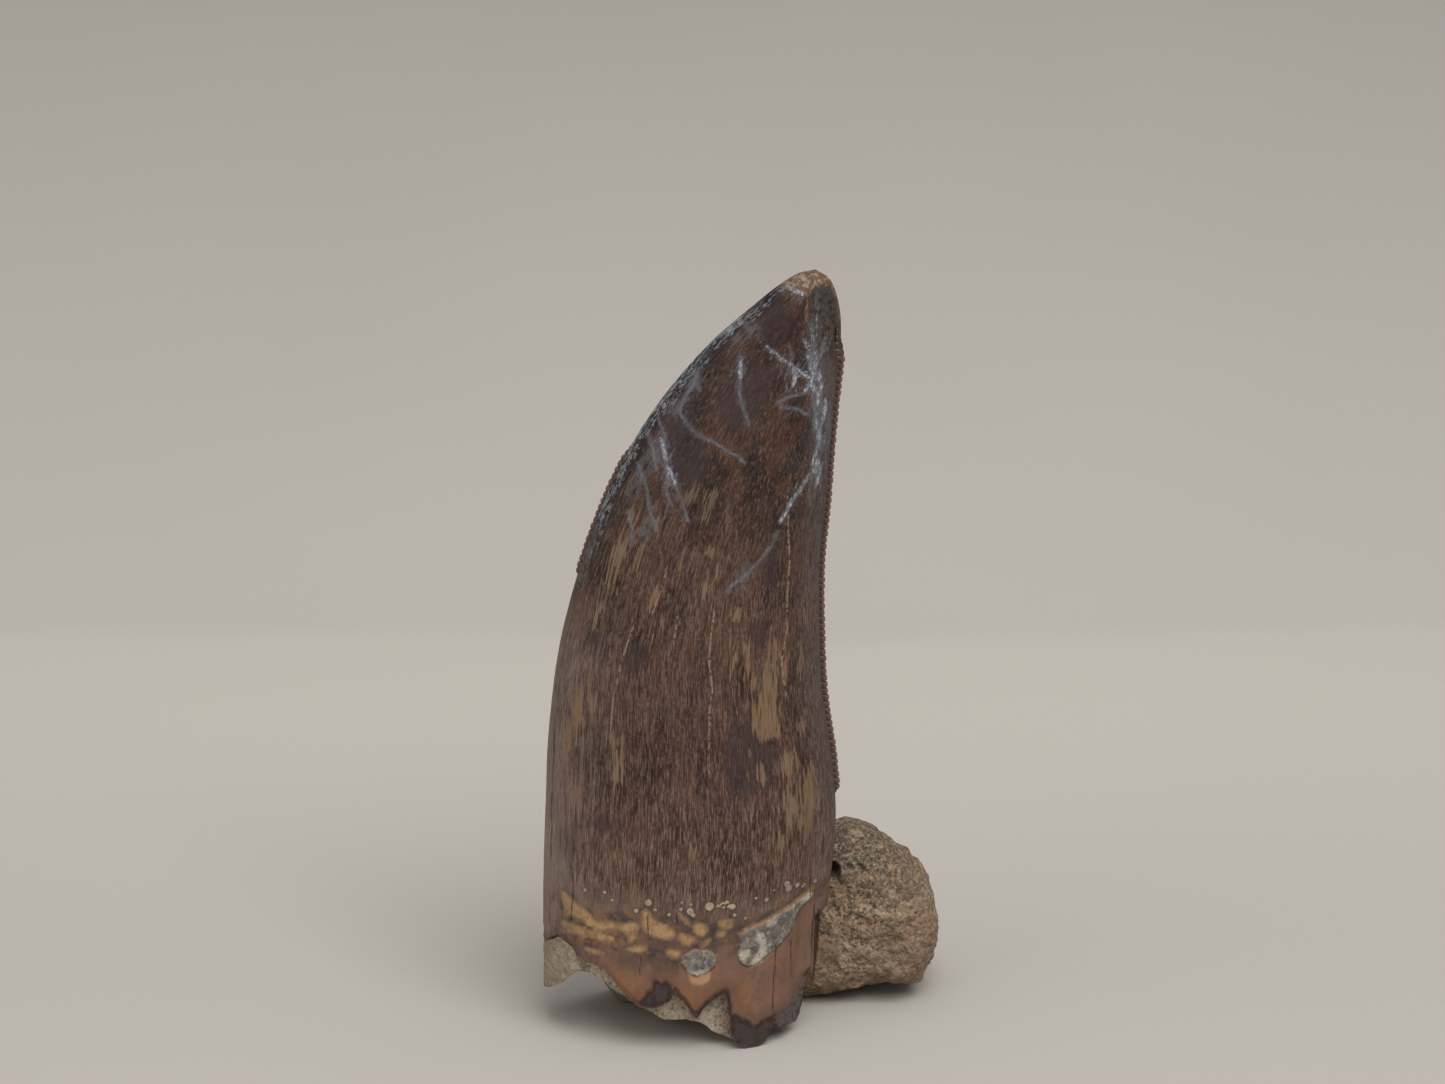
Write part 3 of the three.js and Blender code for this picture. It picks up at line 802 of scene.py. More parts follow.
        (10.56, 16.03, 0.24), (11.2, 15.6, 0.22), (12.37, 15.57, 0.2), (-10.14, 15.87, 0.2),
        (-8.18, 16.0, 0.18), (6.51, 15.53, 0.18), (7.53, 15.26, 0.25), (4.45, 14.07, 0.2),
        (5.49, 13.64, 0.18), (3.3, 15.35, 0.16), (3.9, 15.0, 0.18), (-7.46, 15.31, 0.16), (-1.9, 14.3, 0.2),
        (8.3, 16.1, 0.16), (0.2, 15.3, 0.18), (-2.6, 15.0, 0.14),
    ),
    glaze_edge=(
        (-14.9, 14.3), (-13.2, 14.9), (-11.7, 14.6), (-9.4, 14.2), (-6.3, 14.1), (-5.0, 14.7), (-3.4, 14.5),
        (-1.3, 14.5), (0.8, 14.2), (2.3, 13.7), (4.5, 13.7), (8.3, 13.9), (10.4, 14.6), (12.6, 15.3),
        (14.2, 15.7),
    ),
    band_edge=(
        (-14.9, 9.9), (-13.3, 10.7), (-11.3, 10.2), (-8.7, 10.9), (-6.3, 10.0), (-4.3, 9.9), (-1.3, 9.4),
        (1.0, 10.9), (2.7, 11.2), (4.8, 11.4), (5.9, 12.2), (9.0, 13.2), (12.0, 14.6), (14.2, 15.2),
    ),
)


def lingual_marks(seed: int = 11) -> FaceMarks:
    """Marks for the inner face in the manner of the outer one, most of them placed by chance.

    Args:
        seed: which set.

    Returns:
        The marks.
    """
    rng = np.random.default_rng(seed)

    def wander(x: float, z: float, lean: float, steps: int, step: float) -> Outline:
        """A line that keeps to its direction with small turns.

        Args:
            x: where it starts, in mm.
            z: the height where it starts, in mm.
            lean: its direction in degrees from straight down.
            steps: how many corners it has.
            step: how far apart they are in mm.

        Returns:
            The corners.
        """
        turns = math.radians(lean) + np.cumsum(rng.normal(0.0, 0.22, steps))
        xs = x + step * np.cumsum(np.sin(turns))
        zs = z - step * np.cumsum(np.cos(turns))
        return tuple(zip(xs.tolist(), zs.tolist()))

    veins = (
        ((12.6, 70.2), (12.3, 68.4), (12.5, 66.0), (12.1, 63.6), (12.4, 61.0), (11.9, 58.6)),
        ((12.2, 66.8), (11.0, 65.9), (9.8, 65.6), (8.9, 64.7)),
        ((7.0, 69.0), (6.6, 67.2), (6.9, 65.6), (6.4, 63.9)),
        ((3.0, 62.6), (2.6, 60.8), (3.1, 59.2), (2.8, 57.4)),
        ((11.8, 58.8), (11.0, 57.2), (10.4, 55.0)),
    )
    wisps = (
        ((0.6, 65.0), (0.0, 63.2), (0.7, 61.0), (2.4, 59.8), (4.3, 59.0)),
        ((10.2, 54.6), (9.4, 52.8), (8.2, 51.2)),
        ((-2.4, 59.6), (-2.9, 57.4), (-2.2, 55.0)),
        ((5.6, 57.6), (6.6, 56.2), (6.9, 54.4)),
        ((9.8, 70.6), (9.0, 69.2), (8.8, 67.6)),
        ((-4.6, 54.2), (-5.2, 52.0), (-4.9, 50.2)),
    )
    hairs = tuple(wander(rng.uniform(-9, 10), rng.uniform(36, 50), -6.0, 7, 1.9) for _ in range(6))
    starts = ((-11.0, 21.0, 2.0, 5, 2.0), (7.5, 12.6, 0.0, 4, 1.3), (-4.0, 9.0, 4.0, 5, 1.3))
    cracks = tuple(wander(*start) for start in starts)

    blots = []
    for _ in range(46):
        z = rng.uniform(19, 56)
        lean = np.interp(z, [20, 40, 56], [0, 8, 24])
        middle = np.interp(z, [20, 40, 56], [0.0, 0.5, 4.0])
        x = middle + rng.uniform(-10.5, 10.5) * np.interp(z, [20, 56], [1.0, 0.75])
        blots.append((x, z, rng.uniform(0.25, 0.6), rng.uniform(0.7, 2.4), lean))
    dusk = tuple(
        (rng.uniform(-9, 9), rng.uniform(22, 60), rng.uniform(0.9, 2.2), rng.uniform(1.4, 3.4), 10.0)
        for _ in range(9)
    )
    xs = np.linspace(-14.9, 14.2, 16)
    glaze = tuple(zip(xs.tolist(), (14.9 + rng.normal(0, 0.35, 16)).tolist()))
    band = tuple(zip(xs.tolist(), (11.4 + rng.normal(0, 0.5, 16)).tolist()))

    def patch(x: float, z: float, wide: float, high: float) -> Outline:
        """A rounded outline with uneven corners.

        Args:
            x: its middle in mm.
            z: its middle's height in mm.
            wide: half its width in mm.
            high: half its height in mm.

        Returns:
            The corners.
        """
        turn = np.linspace(0, FULL_TURN, 12, endpoint=False)
        reach = rng.uniform(0.7, 1.15, 12)
        xs, zs = x + wide * reach * np.cos(turn), z + high * reach * np.sin(turn)
        return tuple(zip(xs.tolist(), zs.tolist()))

    return FaceMarks(
        veins=veins,
        wisps=wisps,
        hairlines=hairs,
        cracks=cracks,
        tan_blots=tuple(blots),
        dusk_blots=dusk,
        haze_blots=tuple(
            (rng.uniform(1, 13), rng.uniform(55, 71), 0.5, rng.uniform(0.6, 1.6), 25.0) for _ in range(9)
        ),
        cream=tuple(
            patch(x, rng.uniform(12.2, 13.6), rng.uniform(0.9, 1.9), rng.uniform(0.3, 0.6))
            for x in np.linspace(-11.5, 11.5, 10)
        ),
        crust=(patch(-5.5, 9.6, 2.3, 1.1), patch(3.4, 11.2, 1.5, 0.8)),
        crust_pale=(patch(-6.2, 9.2, 0.9, 0.5), patch(3.9, 10.9, 0.6, 0.4)),
        crust_foot=(patch(-5.3, 8.2, 1.1, 0.4),),
        burnt=(
            patch(-6.4, 0.2, 2.6, 1.9), patch(-11.5, 5.0, 1.6, 1.2),
            patch(0.6, 3.0, 1.8, 0.9), patch(9.0, 9.4, 1.8, 0.8),
        ),
        beads=tuple(
            (rng.uniform(-11, 12), rng.uniform(14.6, 16.3), rng.uniform(0.16, 0.34)) for _ in range(22)
        ),
        glaze_edge=glaze,
        band_edge=band,
    )


# ---------------------------------------------------------------- the tooth


@dataclass
class Crown:
    """The tooth: crown, root wall with its jagged break, and the hollow inside it, as one closed skin."""

    form: BladeForm
    front_columns: int = 204
    back_columns: int = 100
    low_rows: int = 66
    high_rows: int = 176
    fracture_rows: int = 6
    inner_rows: int = 10
    low_reach: float = 17.2
    dentine_step: float = 0.09
    crust_height: float = 0.1
    low_power: float = 1.1
    tip_crowding: float = 0.012
    hollow_margin: float = 0.004
    rear_lip: float = 0.45
    lip_top: Span = (10.5, 6.8)
    lip_foot: Span = (5.8, 6.6)
    lip_front: Span = (10.4, 11.6)
    break_relief: float = 0.3
    break_sag: float = 0.05
    grain_chord: float = 13.0
    grain_depth: float = 8.0
    grain_straight: float = 0.45
    skin_relief: float = 0.05
    bead_height: float = 0.05
    crust_relief: float = 0.12
    band_fade: Span = (0.25, -0.35)
    crust_fade: Span = (0.12, -0.2)
    bead_fade: Span = (1.15, 0.4)
    break_fade: Span = (0.0, 1.5)
    tip_fade: Span = (1.0, 0.985)
    sharp_angle: float = 48.0

    def angles(self) -> Array:
        """The columns' angles, closer together on the labial half.

        Returns:
            One angle for each column.
        """
        back = np.linspace(0.0, math.pi, self.back_columns, endpoint=False)
        front = np.linspace(math.pi, FULL_TURN, self.front_columns, endpoint=False)
        return np.concatenate([back, front])

    def outer_shares(self, angle: Array, foot: Array) -> Array:
        """Share t of each outer ring point: close rows from the break up to low_reach, even rows to the tip.

        Args:
            angle: the columns' angles.
            foot: t of each column's break.

        Returns:
            t by row and column.
        """
        t, length = self.form.mid_lengths()
        knee = self.form.share_at_height(self.low_reach, t)
        knee_length = np.interp(knee, t, length)
        rise = np.linspace(0.0, 1.0, self.low_rows, endpoint=False)[:, None] ** self.low_power
        low = foot[None, :] + (knee - foot[None, :]) * rise
        spread = np.linspace(0.0, 1.0, self.high_rows + 1)[:-1]
        spread = spread + self.tip_crowding * np.sin(math.pi * spread)
        high = np.interp(knee_length + (length[-1] - knee_length) * spread, length, t)
        return np.vstack([low, np.repeat(high[:, None], len(angle), axis=1)])

    def skin(self) -> tuple[Shell, Array, Array, int]:
        """The closed skin: down the hollow's inside, across the fracture, and up the outside to the tip.

        Returns:
            The shell, t of each ring point, how far each stood beyond the wear facet, and how many rings are
            inside or on the fracture.
        """
        angle = self.angles()
        outer_foot = self.form.share_at(angle, 0.0, WALL_BREAK)
        inner_foot = self.form.inner_share(angle, self.form.wall)
        outer_t = self.outer_shares(angle, outer_foot)
        outer = self.form.point(outer_t, angle[None, :])
        beyond, facing = self.form.beyond_facet(outer)
        soft = self.form.facet_softness
        cut = np.where(beyond > soft, beyond, np.maximum(beyond + soft, 0.0) ** 2 / (4 * soft))
        outer = outer - cut[..., None] * facing

        climb = np.linspace(1.0, 0.0, self.inner_rows)[:, None]
        inner_top = self.form.hollow_top - self.hollow_margin
        inner_t = inner_foot[None, :] + (inner_top - inner_foot[None, :]) * climb
        depth_in = self.form.wall + self.form.hollow_closing * (inner_t / self.form.hollow_top) ** 2
        closing = self.form.wall + (depth_in - self.form.wall) * climb**0.5
        depth_in = np.where(climb == 0.0, self.form.wall, closing)
        inner = self.form.point(inner_t, angle[None, :], depth_in)

        share = np.linspace(0.0, 1.0, self.fracture_rows + 2)[1:-1, None, None]
        across = inner[-1][None] * (1 - share) + outer[0][None] * share
        across_t = inner_t[-1][None] * (1 - share[..., 0]) + outer_t[0][None] * share[..., 0]
        chips = rough(across, 1.6, 3, 41) * self.break_relief - self.break_sag
        across[..., 2] += chips * np.sin(math.pi * share[..., 0])

        rings = np.concatenate([inner, across, outer])
        x, z = rings[..., 0], rings[..., 2]
        lip = self.rear_lip * ease(*self.lip_top, z) * ease(*self.lip_foot, z)
        rings[..., 0] += lip * ease(*self.lip_front, x)
        t = np.concatenate([inner_t, across_t, outer_t])
        facet = np.concatenate([np.full((len(inner) + len(across), len(angle)), -WIDEST_FIELD), beyond])
        shell = Shell(rings, np.array(self.form.hollow_peak), self.form.point(np.array(1.0), np.array(0.0)))
        return shell, t, facet, len(inner) + len(across)

    def face_fields(self, shell: Shell, angle: Array) -> dict[str, Array]:
        """The marks' fields at every ring point, the labial marks on the -Y half and the lingual ones behind.

        Args:
            shell: the skin.
            angle: the columns' angles.

        Returns:
            Distances and masks by name.
        """
        fields: dict[str, Array] = {}
        for marks, half in ((LABIAL_MARKS, np.sin(angle) < 0), (lingual_marks(), np.sin(angle) >= 0)):
            rings = shell.rings[:, half]
            places = rings[..., (0, 2)].reshape(-1, 2)
            shape = rings.shape[:2]
            found: dict[str, Array] = {}
            lines = {"vein": marks.veins, "wisp": marks.wisps, "hair": marks.hairlines, "crack": marks.cracks}
            for label, bent in lines.items():
                found[label + "_side"], found[label + "_near"] = line_fields(places, bent)
            for label in ("tan", "dusk", "haze"):
                found[label] = blots_distance(places, getattr(marks, label + "_blots"))
            for label in ("cream", "crust", "crust_pale", "crust_foot", "burnt"):
                found[label] = outlines_distance(places, getattr(marks, label))
            for label in ("glaze", "band"):
                edge = np.array(getattr(marks, label + "_edge"))
                found[label] = places[:, 1] - np.interp(places[:, 0], *edge.T)
            beads = np.array(marks.beads)
            away = np.linalg.norm(places[:, None] - beads[None, :, :2], axis=-1)
            found["bead"] = np.min(away / beads[None, :, 2], axis=1)
            for label, values in found.items():
                whole = fields.setdefault(label, np.zeros(shell.rings.shape[:2]))
                whole[:, half] = np.clip(values, -WIDEST_FIELD, WIDEST_FIELD).reshape(shape)
        return fields

    def build(self) -> bpy.types.Object:
        """Makes the tooth's mesh with its fields and its two finishes.

        Returns:
            The piece that stands for the CAD tooth.
        """
        angle = self.angles()
        shell, t, facet, first_outer = self.skin()
        fields = self.face_fields(shell, angle)
        fields["facet"] = np.clip(facet, -WIDEST_FIELD, WIDEST_FIELD)
        s = catmull_rom(STATIONS, t)
        table_t, lengths = self.form.mid_lengths()
        half_chord = np.hypot(s[..., 2] - s[..., 0], s[..., 3] - s[..., 1]) / 2
        straight, follow = self.grain_straight, 1 - self.grain_straight
        along = np.cos(angle)[None, :] * (follow * half_chord + straight * self.grain_chord)
        depth = np.sin(angle)[None, :] * (follow * s[..., 4] / 2 + straight * self.grain_depth)
        fields["grain"] = np.stack([along, depth, np.interp(t, table_t, lengths)], axis=-1)
        fields["mesial"] = (1 + np.cos(angle)[None, :]) * half_chord
        fields["distal"] = (1 - np.cos(angle)[None, :]) * half_chord

        outside = (np.arange(len(t)) >= first_outer)[:, None]
        above_break = np.where(outside, shell.rings[..., 2] - shell.rings[first_outer, :, 2][None, :], 0.0)
        fields["above_break"] = np.clip(above_break, 0.0, WIDEST_FIELD)
        relief = -self.dentine_step * ease(*self.band_fade, fields["band"])
        crust = ease(*self.crust_fade, fields["crust"])
        relief += crust * (self.crust_height + self.crust_relief * rough(shell.rings, 0.9, 3, 5))
        relief += self.skin_relief * rough(shell.rings, 7.0, 3, 9) * ease(*self.break_fade, above_break)
        relief += self.bead_height * ease(*self.bead_fade, fields["bead"])
        relief *= np.where(outside, ease(*self.tip_fade, t), 0.0)
        shell.swell(relief)
        shell.keep_off_floor()

        piece = shell.to_object("tooth_crown_and_root", fields, sharp=self.sharp_angle)
        columns = len(angle)
        quads = (len(t) - 1) * columns
        inside_faces = np.zeros(len(piece.data.polygons), dtype=np.int32)
        inside_faces[: first_outer * columns] = 1
        inside_faces[quads : quads + columns] = 1
        piece.data.polygons.foreach_set("material_index", inside_faces)
        join_piece(piece, "tooth", [EnamelFinish().material(), FractureFinish().material()])
        return piece


@dataclass
class SawEdge:
    """A keel along one edge of the blade, its crest cut into small rounded chisel teeth."""

    form: BladeForm
    name: str
    outward: int
    low: float
    high: float
    valley: float
    peak: float
    pitch: float = 0.66
    half_width: float = 0.6
    depth_in_body: float = 0.6
    profile_points: int = 14
    edge_steps: int = 3001
    within: tuple[float, ...] = (0.0, 0.07, 0.16, 0.32, 0.5, 0.68, 0.84, 0.93)
    most_worn: float = 0.72
    sunk: float = 0.4
    crest_power: float = 0.7
    belly: float = 0.2
    crest_widening: float = 0.16
    top_narrowing: float = 0.36
    notch_share: float = 0.3
    end_depth: float = 0.1
    fade_in: Span = (-0.5, 1.8)
    fade_out: Span = (0.5, -5.0)
    seed: int = 3

    def build(self) -> bpy.types.Object:
        """Carries the keel's profile along the edge curve.

        Out from the edge the profile stands -d + (d + h) sin(a)^crest_power on its upper half and -d and
        a belly below that on its lower half, and to the sides w cos(a) (1 - top_narrowing sin(a)^2). Along
        the edge h goes from valley to peak as 1 - |2f - 1|^4, with f the share of one pitch.

        Returns:
            The piece, which stands for part of the CAD tooth.
        """
        t = np.linspace(0.0, 1.0, self.edge_steps)
        s = catmull_rom(STATIONS, t)
        edge = s[:, 2:4] if self.outward > 0 else s[:, 0:2]
        length = np.concatenate([[0.0], np.cumsum(np.linalg.norm(np.diff(edge, axis=0), axis=1))])
        start, stop = np.interp([self.low, self.high], edge[:, 1], length)
        teeth = int(round((stop - start) / self.pitch))
        within = np.array(self.within)
        place = (np.arange(teeth)[:, None] + within[None, :]).ravel()
        place = np.append(place, float(teeth))
        part = place - np.floor(place)
        crest = 1 - np.abs(2 * part - 1) ** 4
        rng = np.random.default_rng(self.seed)
        worn = np.repeat(rng.uniform(self.most_worn, 1.0, teeth + 1), len(within))[: len(place)]
        fade = ease(*self.fade_out, place - teeth) * ease(*self.fade_in, place)
        height = self.valley + (self.peak - self.valley) * crest * worn
        height = height * fade - self.sunk * (1 - fade)

        along = start + (stop - start) * place / teeth
        base_t = np.interp(along, length, t)
        edge_x, edge_z = (np.interp(along, length, edge[:, k]) for k in (0, 1))
        base = np.stack([edge_x, self.form.tip_lean * base_t**3, edge_z], axis=-1)
        tangent = np.gradient(base, axis=0)
        tangent /= np.linalg.norm(tangent, axis=1)[:, None]
        out = np.stack([tangent[:, 2], np.zeros(len(base)), -tangent[:, 0]], axis=-1) * self.outward

        a = np.linspace(0.0, FULL_TURN, self.profile_points, endpoint=False)
        upper = np.maximum(np.sin(a), 0.0)
        rise = upper[None, :] ** self.crest_power
        lift = -self.depth_in_body + (self.depth_in_body + height[:, None]) * rise
        lift = lift - self.belly * np.maximum(-np.sin(a), 0.0)[None, :]
        widened = 1 - self.crest_widening * (1 - crest[:, None])
        breadth = self.half_width * widened * np.cos(a)[None, :]
        breadth = breadth * (1 - self.top_narrowing * upper[None, :] ** 2)
        rings = base[:, None, :] + out[:, None, :] * lift[..., None]
        rings[..., 1] -= breadth * self.outward
        shell = Shell(rings, *(rings[k].mean(axis=0) - out[k] * self.end_depth for k in (0, -1)))
        notch = self.valley * self.notch_share
        fields = {
            "crest": np.clip((lift - notch) / (self.peak - notch), 0.0, 1.0),
            "tooth_place": np.repeat(crest[:, None], self.profile_points, axis=1),
        }
        piece = shell.to_object(self.name, fields)
        join_piece(piece, "tooth", [SerrationFinish().material()])
        return piece


# ---------------------------------------------------------------- the sediment


@dataclass
class SedimentPlug:
    """Hardened sediment in the root's hollow, flush with the tooth's surface at the broken mesial corner."""

    form: BladeForm
    columns: int = 330
    underside_rows: int = 60
    side_rows: int = 46
    tongue_inset: float = 0.12
    tongue_reach: float = -11.2
    wall_overlap: float = 0.06
    cover: float = 1.6
    middle: Point = (-1.0, 0.4, 0.0)
    axis: Place = (-0.6, 0.0)
    top: float = 14.0
    skin_clearance: float = 0.03
    probe_share: float = 0.06
    tongue_blend: float = 0.25
    wall_extra: float = 0.12
    underside_power: float = 0.8
    tucks: tuple[float, ...] = (0.05, 0.4, 1.0)
    tuck_inset: float = 0.5
    closing_inset: float = 4.0
    coarse_relief: float = 0.3
    pit_relief: float = 0.16
    clean_front: Span = (-11.6, -10.6)
    shaded_depth: Span = (-5.5, -2.5)
    shading: float = 0.3
    brow_drop: float = 0.002
    least_rise: float = 0.004
    hidden_rows: int = 4

    def build(self) -> bpy.types.Object:
        """Makes the plug: underside from its middle outwards, then up the side, closing inside the root.

        Returns:
            The piece that stands for the CAD plug.
        """
        angle = np.linspace(0.0, FULL_TURN, self.columns, endpoint=False)
        snug = self.form.wall - self.wall_overlap
        probe = self.form.point(np.full(self.columns, self.probe_share), angle, self.tongue_inset)
        is_tongue = ease(self.tongue_blend, -self.tongue_blend, probe[:, 0] - self.tongue_reach)
        rim_inset = self.tongue_inset * is_tongue + (snug + self.wall_extra) * (1 - is_tongue)
        foot = self.form.share_at(angle, rim_inset, PLUG_BREAK)
        brow = self.form.inner_share(angle, rim_inset)
        brow = np.maximum(brow - self.brow_drop, foot + self.least_rise)

        rim = self.form.point(foot, angle, rim_inset)
        middle = np.array(self.middle)
        reach = np.linspace(0.0, 1.0, self.underside_rows + 1)[1:, None, None] ** self.underside_power
        under = middle + (rim[None] - middle) * reach
        under[..., 2] = np.maximum(PLUG_BREAK.height(under[..., 0], under[..., 1]), 0.0)

        climb = np.linspace(0.0, 1.0, self.side_rows + 1)[1:, None]
        side_t = foot[None, :] + (brow - foot)[None, :] * climb
        side = self.form.point(side_t, angle[None, :], rim_inset[None, :])
        per_mm = np.diff(self.form.share_at_height(np.array([9.0, 10.0]), np.linspace(0.0, 0.3, 301)))
        tucked_t = brow[None, :] + per_mm * self.cover * np.array(self.tucks)[:, None]
        tucked = self.form.point(tucked_t, angle[None, :], snug + self.tuck_inset)
        closing = self.form.point(tucked_t[-1:], angle[None, :], self.form.wall + self.closing_inset)
        rings = np.concatenate([under, side, tucked, closing])

        shell = Shell(rings, middle, np.array([*self.axis, self.top]))
        seen = np.ones(rings.shape[:2])
        hidden = self.hidden_rows
        seen[-hidden:] = 0.0
        seen[-2 * hidden : -hidden] *= np.linspace(0.8, 0.1, hidden)[:, None]
        grit = self.coarse_relief * rough(rings, 2.4, 5, 21)
        grit += self.pit_relief * np.minimum(rough(rings, 0.7, 2, 29), 0.0)
        shell.swell(grit * seen)
        shell.keep_off_floor()
        inside = self.form.point(np.clip(side_t, 0, 1), angle[None, :], self.skin_clearance)
        block = shell.rings[self.underside_rows : self.underside_rows + self.side_rows]
        centre = np.array(self.axis)
        span = np.linalg.norm(block[..., :2] - centre, axis=-1)
        limit = np.linalg.norm(inside[..., :2] - centre, axis=-1)
        block[..., :2] = centre + (block[..., :2] - centre) * np.minimum(1.0, limit / span)[..., None]
        open_grain = ease(*self.clean_front, shell.rings[..., 0])
        # Painted shade: the underside is darkened towards the back, kept in the "gap" field.
        shade = np.zeros(rings.shape[:2])
        shade[: self.underside_rows] = self.shading * ease(*self.shaded_depth, under[..., 1])
        piece = shell.to_object("sediment_plug", {"open_grain": open_grain, "gap": shade})
        join_piece(piece, "matrix_plug", [PLUG_STONE.material()])
        return piece


@dataclass
class SandstoneLump:
    """The lump of sandstone behind the root: an outline swelled front and back, on a flat foot."""

    form: BladeForm
    outline: Outline = (
        (13.3, -0.5), (16.7, 0.3), (19.5, 1.1), (22.9, 0.8), (24.4, 3.0), (25.4, 5.6), (25.2, 8.0),
        (24.3, 10.3), (23.0, 12.5), (21.3, 14.5), (18.5, 16.9), (15.6, 17.0), (12.5, 16.0), (8.6, 15.4),
        (6.0, 12.0), (4.8, 7.8), (4.6, 3.2), (6.2, -0.9),
    )
    centre: Point = (15.2, 10.4, 7.4)
    half_depth: float = 8.0
    front_power: float = 0.45
    back_power: float = 0.9
    relief: float = 0.45
    undercut: float = 1.2
    gap: Place = (14.3, 14.2)
    gap_radii: Place = (1.0, 1.25)
    gap_depth: float = 2.4
    clearance: float = 0.05
    open_place: Place = (17.0, 9.8)
    open_radii: Place = (4.6, 4.4)
    big_relief: float = 0.34
    ledge_relief: float = 0.7
    grit_relief: float = 0.42
    pit_relief: float = 0.5
    relief_range: Span = (-1.2, 0.42)
    sunk: float = 0.05
    rim_fade: Span = (0.35, 0.8)
    bevel_place: Place = (15.0, 8.0)
    bevel_reach: Place = (10.0, 9.0)
    bevel_fade: Span = (0.2, 0.9)
    bevel_calm: float = 0.12
    foot_heights: Span = (8.5, 4.0)
    foot_calm: float = 0.18
    gap_fade: Span = (1.0, 0.2)
    gap_depths: Span = (9.0, 7.0)
    dim_heights: Span = (10.0, 15.5)
    dim_depths: Span = (5.0, -1.0)
    dimming: float = 0.78
    around: int = 400
    across: int = 230

    def build(self) -> bpy.types.Object:
        """Makes the lump.

        Each ring is the outline drawn in to cos(b)^p of its reach from the centre, at the depth
        half_depth sin(b)^p, with b from the back pole to the front one and p smaller in front, which makes
        that face flatter. Below the centre the front is lifted, as far as the undercut, the depth share and
        the drop say. Two crossed waves and layered noise raise and lower the whole.

        Returns:
            The piece that stands for the CAD lump.
        """
        centre = np.array(self.centre)
        share = np.arange(self.around) / self.around
        turn = FULL_TURN * share
        flat = catmull_rom(np.array(self.outline), share, closed=True)
        latitude = np.pi * (0.5 - np.arange(1, self.across) / self.across)
        power = np.where(latitude < 0, self.front_power, self.back_power)
        reach = np.cos(latitude) ** power
        depth = np.sign(latitude) * np.abs(np.sin(latitude)) ** power
        slow = np.sin(3 * turn[None, :] + 2 * latitude[:, None])
        quick = np.sin(5 * turn[None, :] - 3 * latitude[:, None] + 1)
        wave = self.relief * (slow + 0.7 * quick) * np.cos(latitude)[:, None]
        radial = flat - centre[[0, 2]]
        scale = reach[:, None] * (1 + wave / np.linalg.norm(radial, axis=1)[None, :] / 2)
        low = np.maximum(-radial[None, :, 1] * scale / self.half_depth, 0.0)
        rings = np.stack([
            centre[0] + radial[None, :, 0] * scale,
            centre[1] + self.half_depth * depth[:, None] + 0.5 * wave,
            centre[2] + radial[None, :, 1] * scale + self.undercut * np.maximum(-depth, 0.0)[:, None] * low,
        ], axis=-1)
        shell = Shell(rings, centre + [0, self.half_depth, 0], centre - [0, self.half_depth, 0])
        big = rough(rings, 6.0, 3, 61)
        grit = rough(rings, 1.3, 4, 71)
        pits = np.minimum(rough(rings, 0.9, 2, 83) + 0.12, 0.0)
        rim = ease(*self.rim_fade, np.abs(np.sin(latitude)))[:, None]
        outwards = np.sum((rings[..., (0, 2)] - self.bevel_place) / self.bevel_reach, axis=-1)
        bevel = ease(*self.bevel_fade, outwards) * (1 - rim)
        ledges = np.abs(rough(rings * np.array([1.0, 1.0, 1.6]), 4.2, 3, 97))
        calm = ease(*self.foot_heights, rings[..., 2]) * (1 - rim)
        grit_height = self.grit_relief - self.bevel_calm * bevel - self.foot_calm * calm
        lift = self.big_relief * big + self.ledge_relief * (0.3 - ledges) + grit_height * grit
        lift = lift + self.pit_relief * pits * (1 - 0.5 * bevel)
        shell.swell(np.clip(lift - self.sunk, *self.relief_range))
        # The recess beside the tooth's wall is pushed back, and its "gap" field paints shade into it.
        off = (shell.rings[..., (0, 2)] - self.gap) / self.gap_radii
        gap = ease(*self.gap_fade, np.hypot(off[..., 0], off[..., 1]))
        shell.rings[..., 1] += self.gap_depth * gap * ease(*self.gap_depths, shell.rings[..., 1])
        shell.rings = self.form.push_out(shell.rings, self.clearance)
        shell.keep_off_floor()
        off = (rings[..., (0, 2)] - self.open_place) / self.open_radii
        open_grain = np.exp(-(off[..., 0] ** 2) - off[..., 1] ** 2)
        dim = self.dimming * ease(*self.dim_heights, rings[..., 2])
        dim = dim * ease(*self.dim_depths, rings[..., 1] - centre[1])
        piece = shell.to_object("sandstone_lump_rough", {"open_grain": open_grain, "gap": gap, "dim": dim})
        join_piece(piece, "sandstone_lump", [LUMP_STONE.material()])
        return piece


# ---------------------------------------------------------------- finishes

FLATTENED = (1.0, 1.0, 0.6)


def paint(red: int, green: int, blue: int) -> Colour:
    """A colour on the 0 to 255 scale of screens, as linear light.

    Args:
        red: red on that scale.
        green: green on that scale.
        blue: blue on that scale.

    Returns:
        Red, green, blue and opacity from 0 to 1.
    """
    parts = [c / 255.0 for c in (red, green, blue)]
    linear = [c / 12.92 if c <= 0.04045 else ((c + 0.055) / 1.055) ** 2.4 for c in parts]
    return (linear[0], linear[1], linear[2], 1.0)


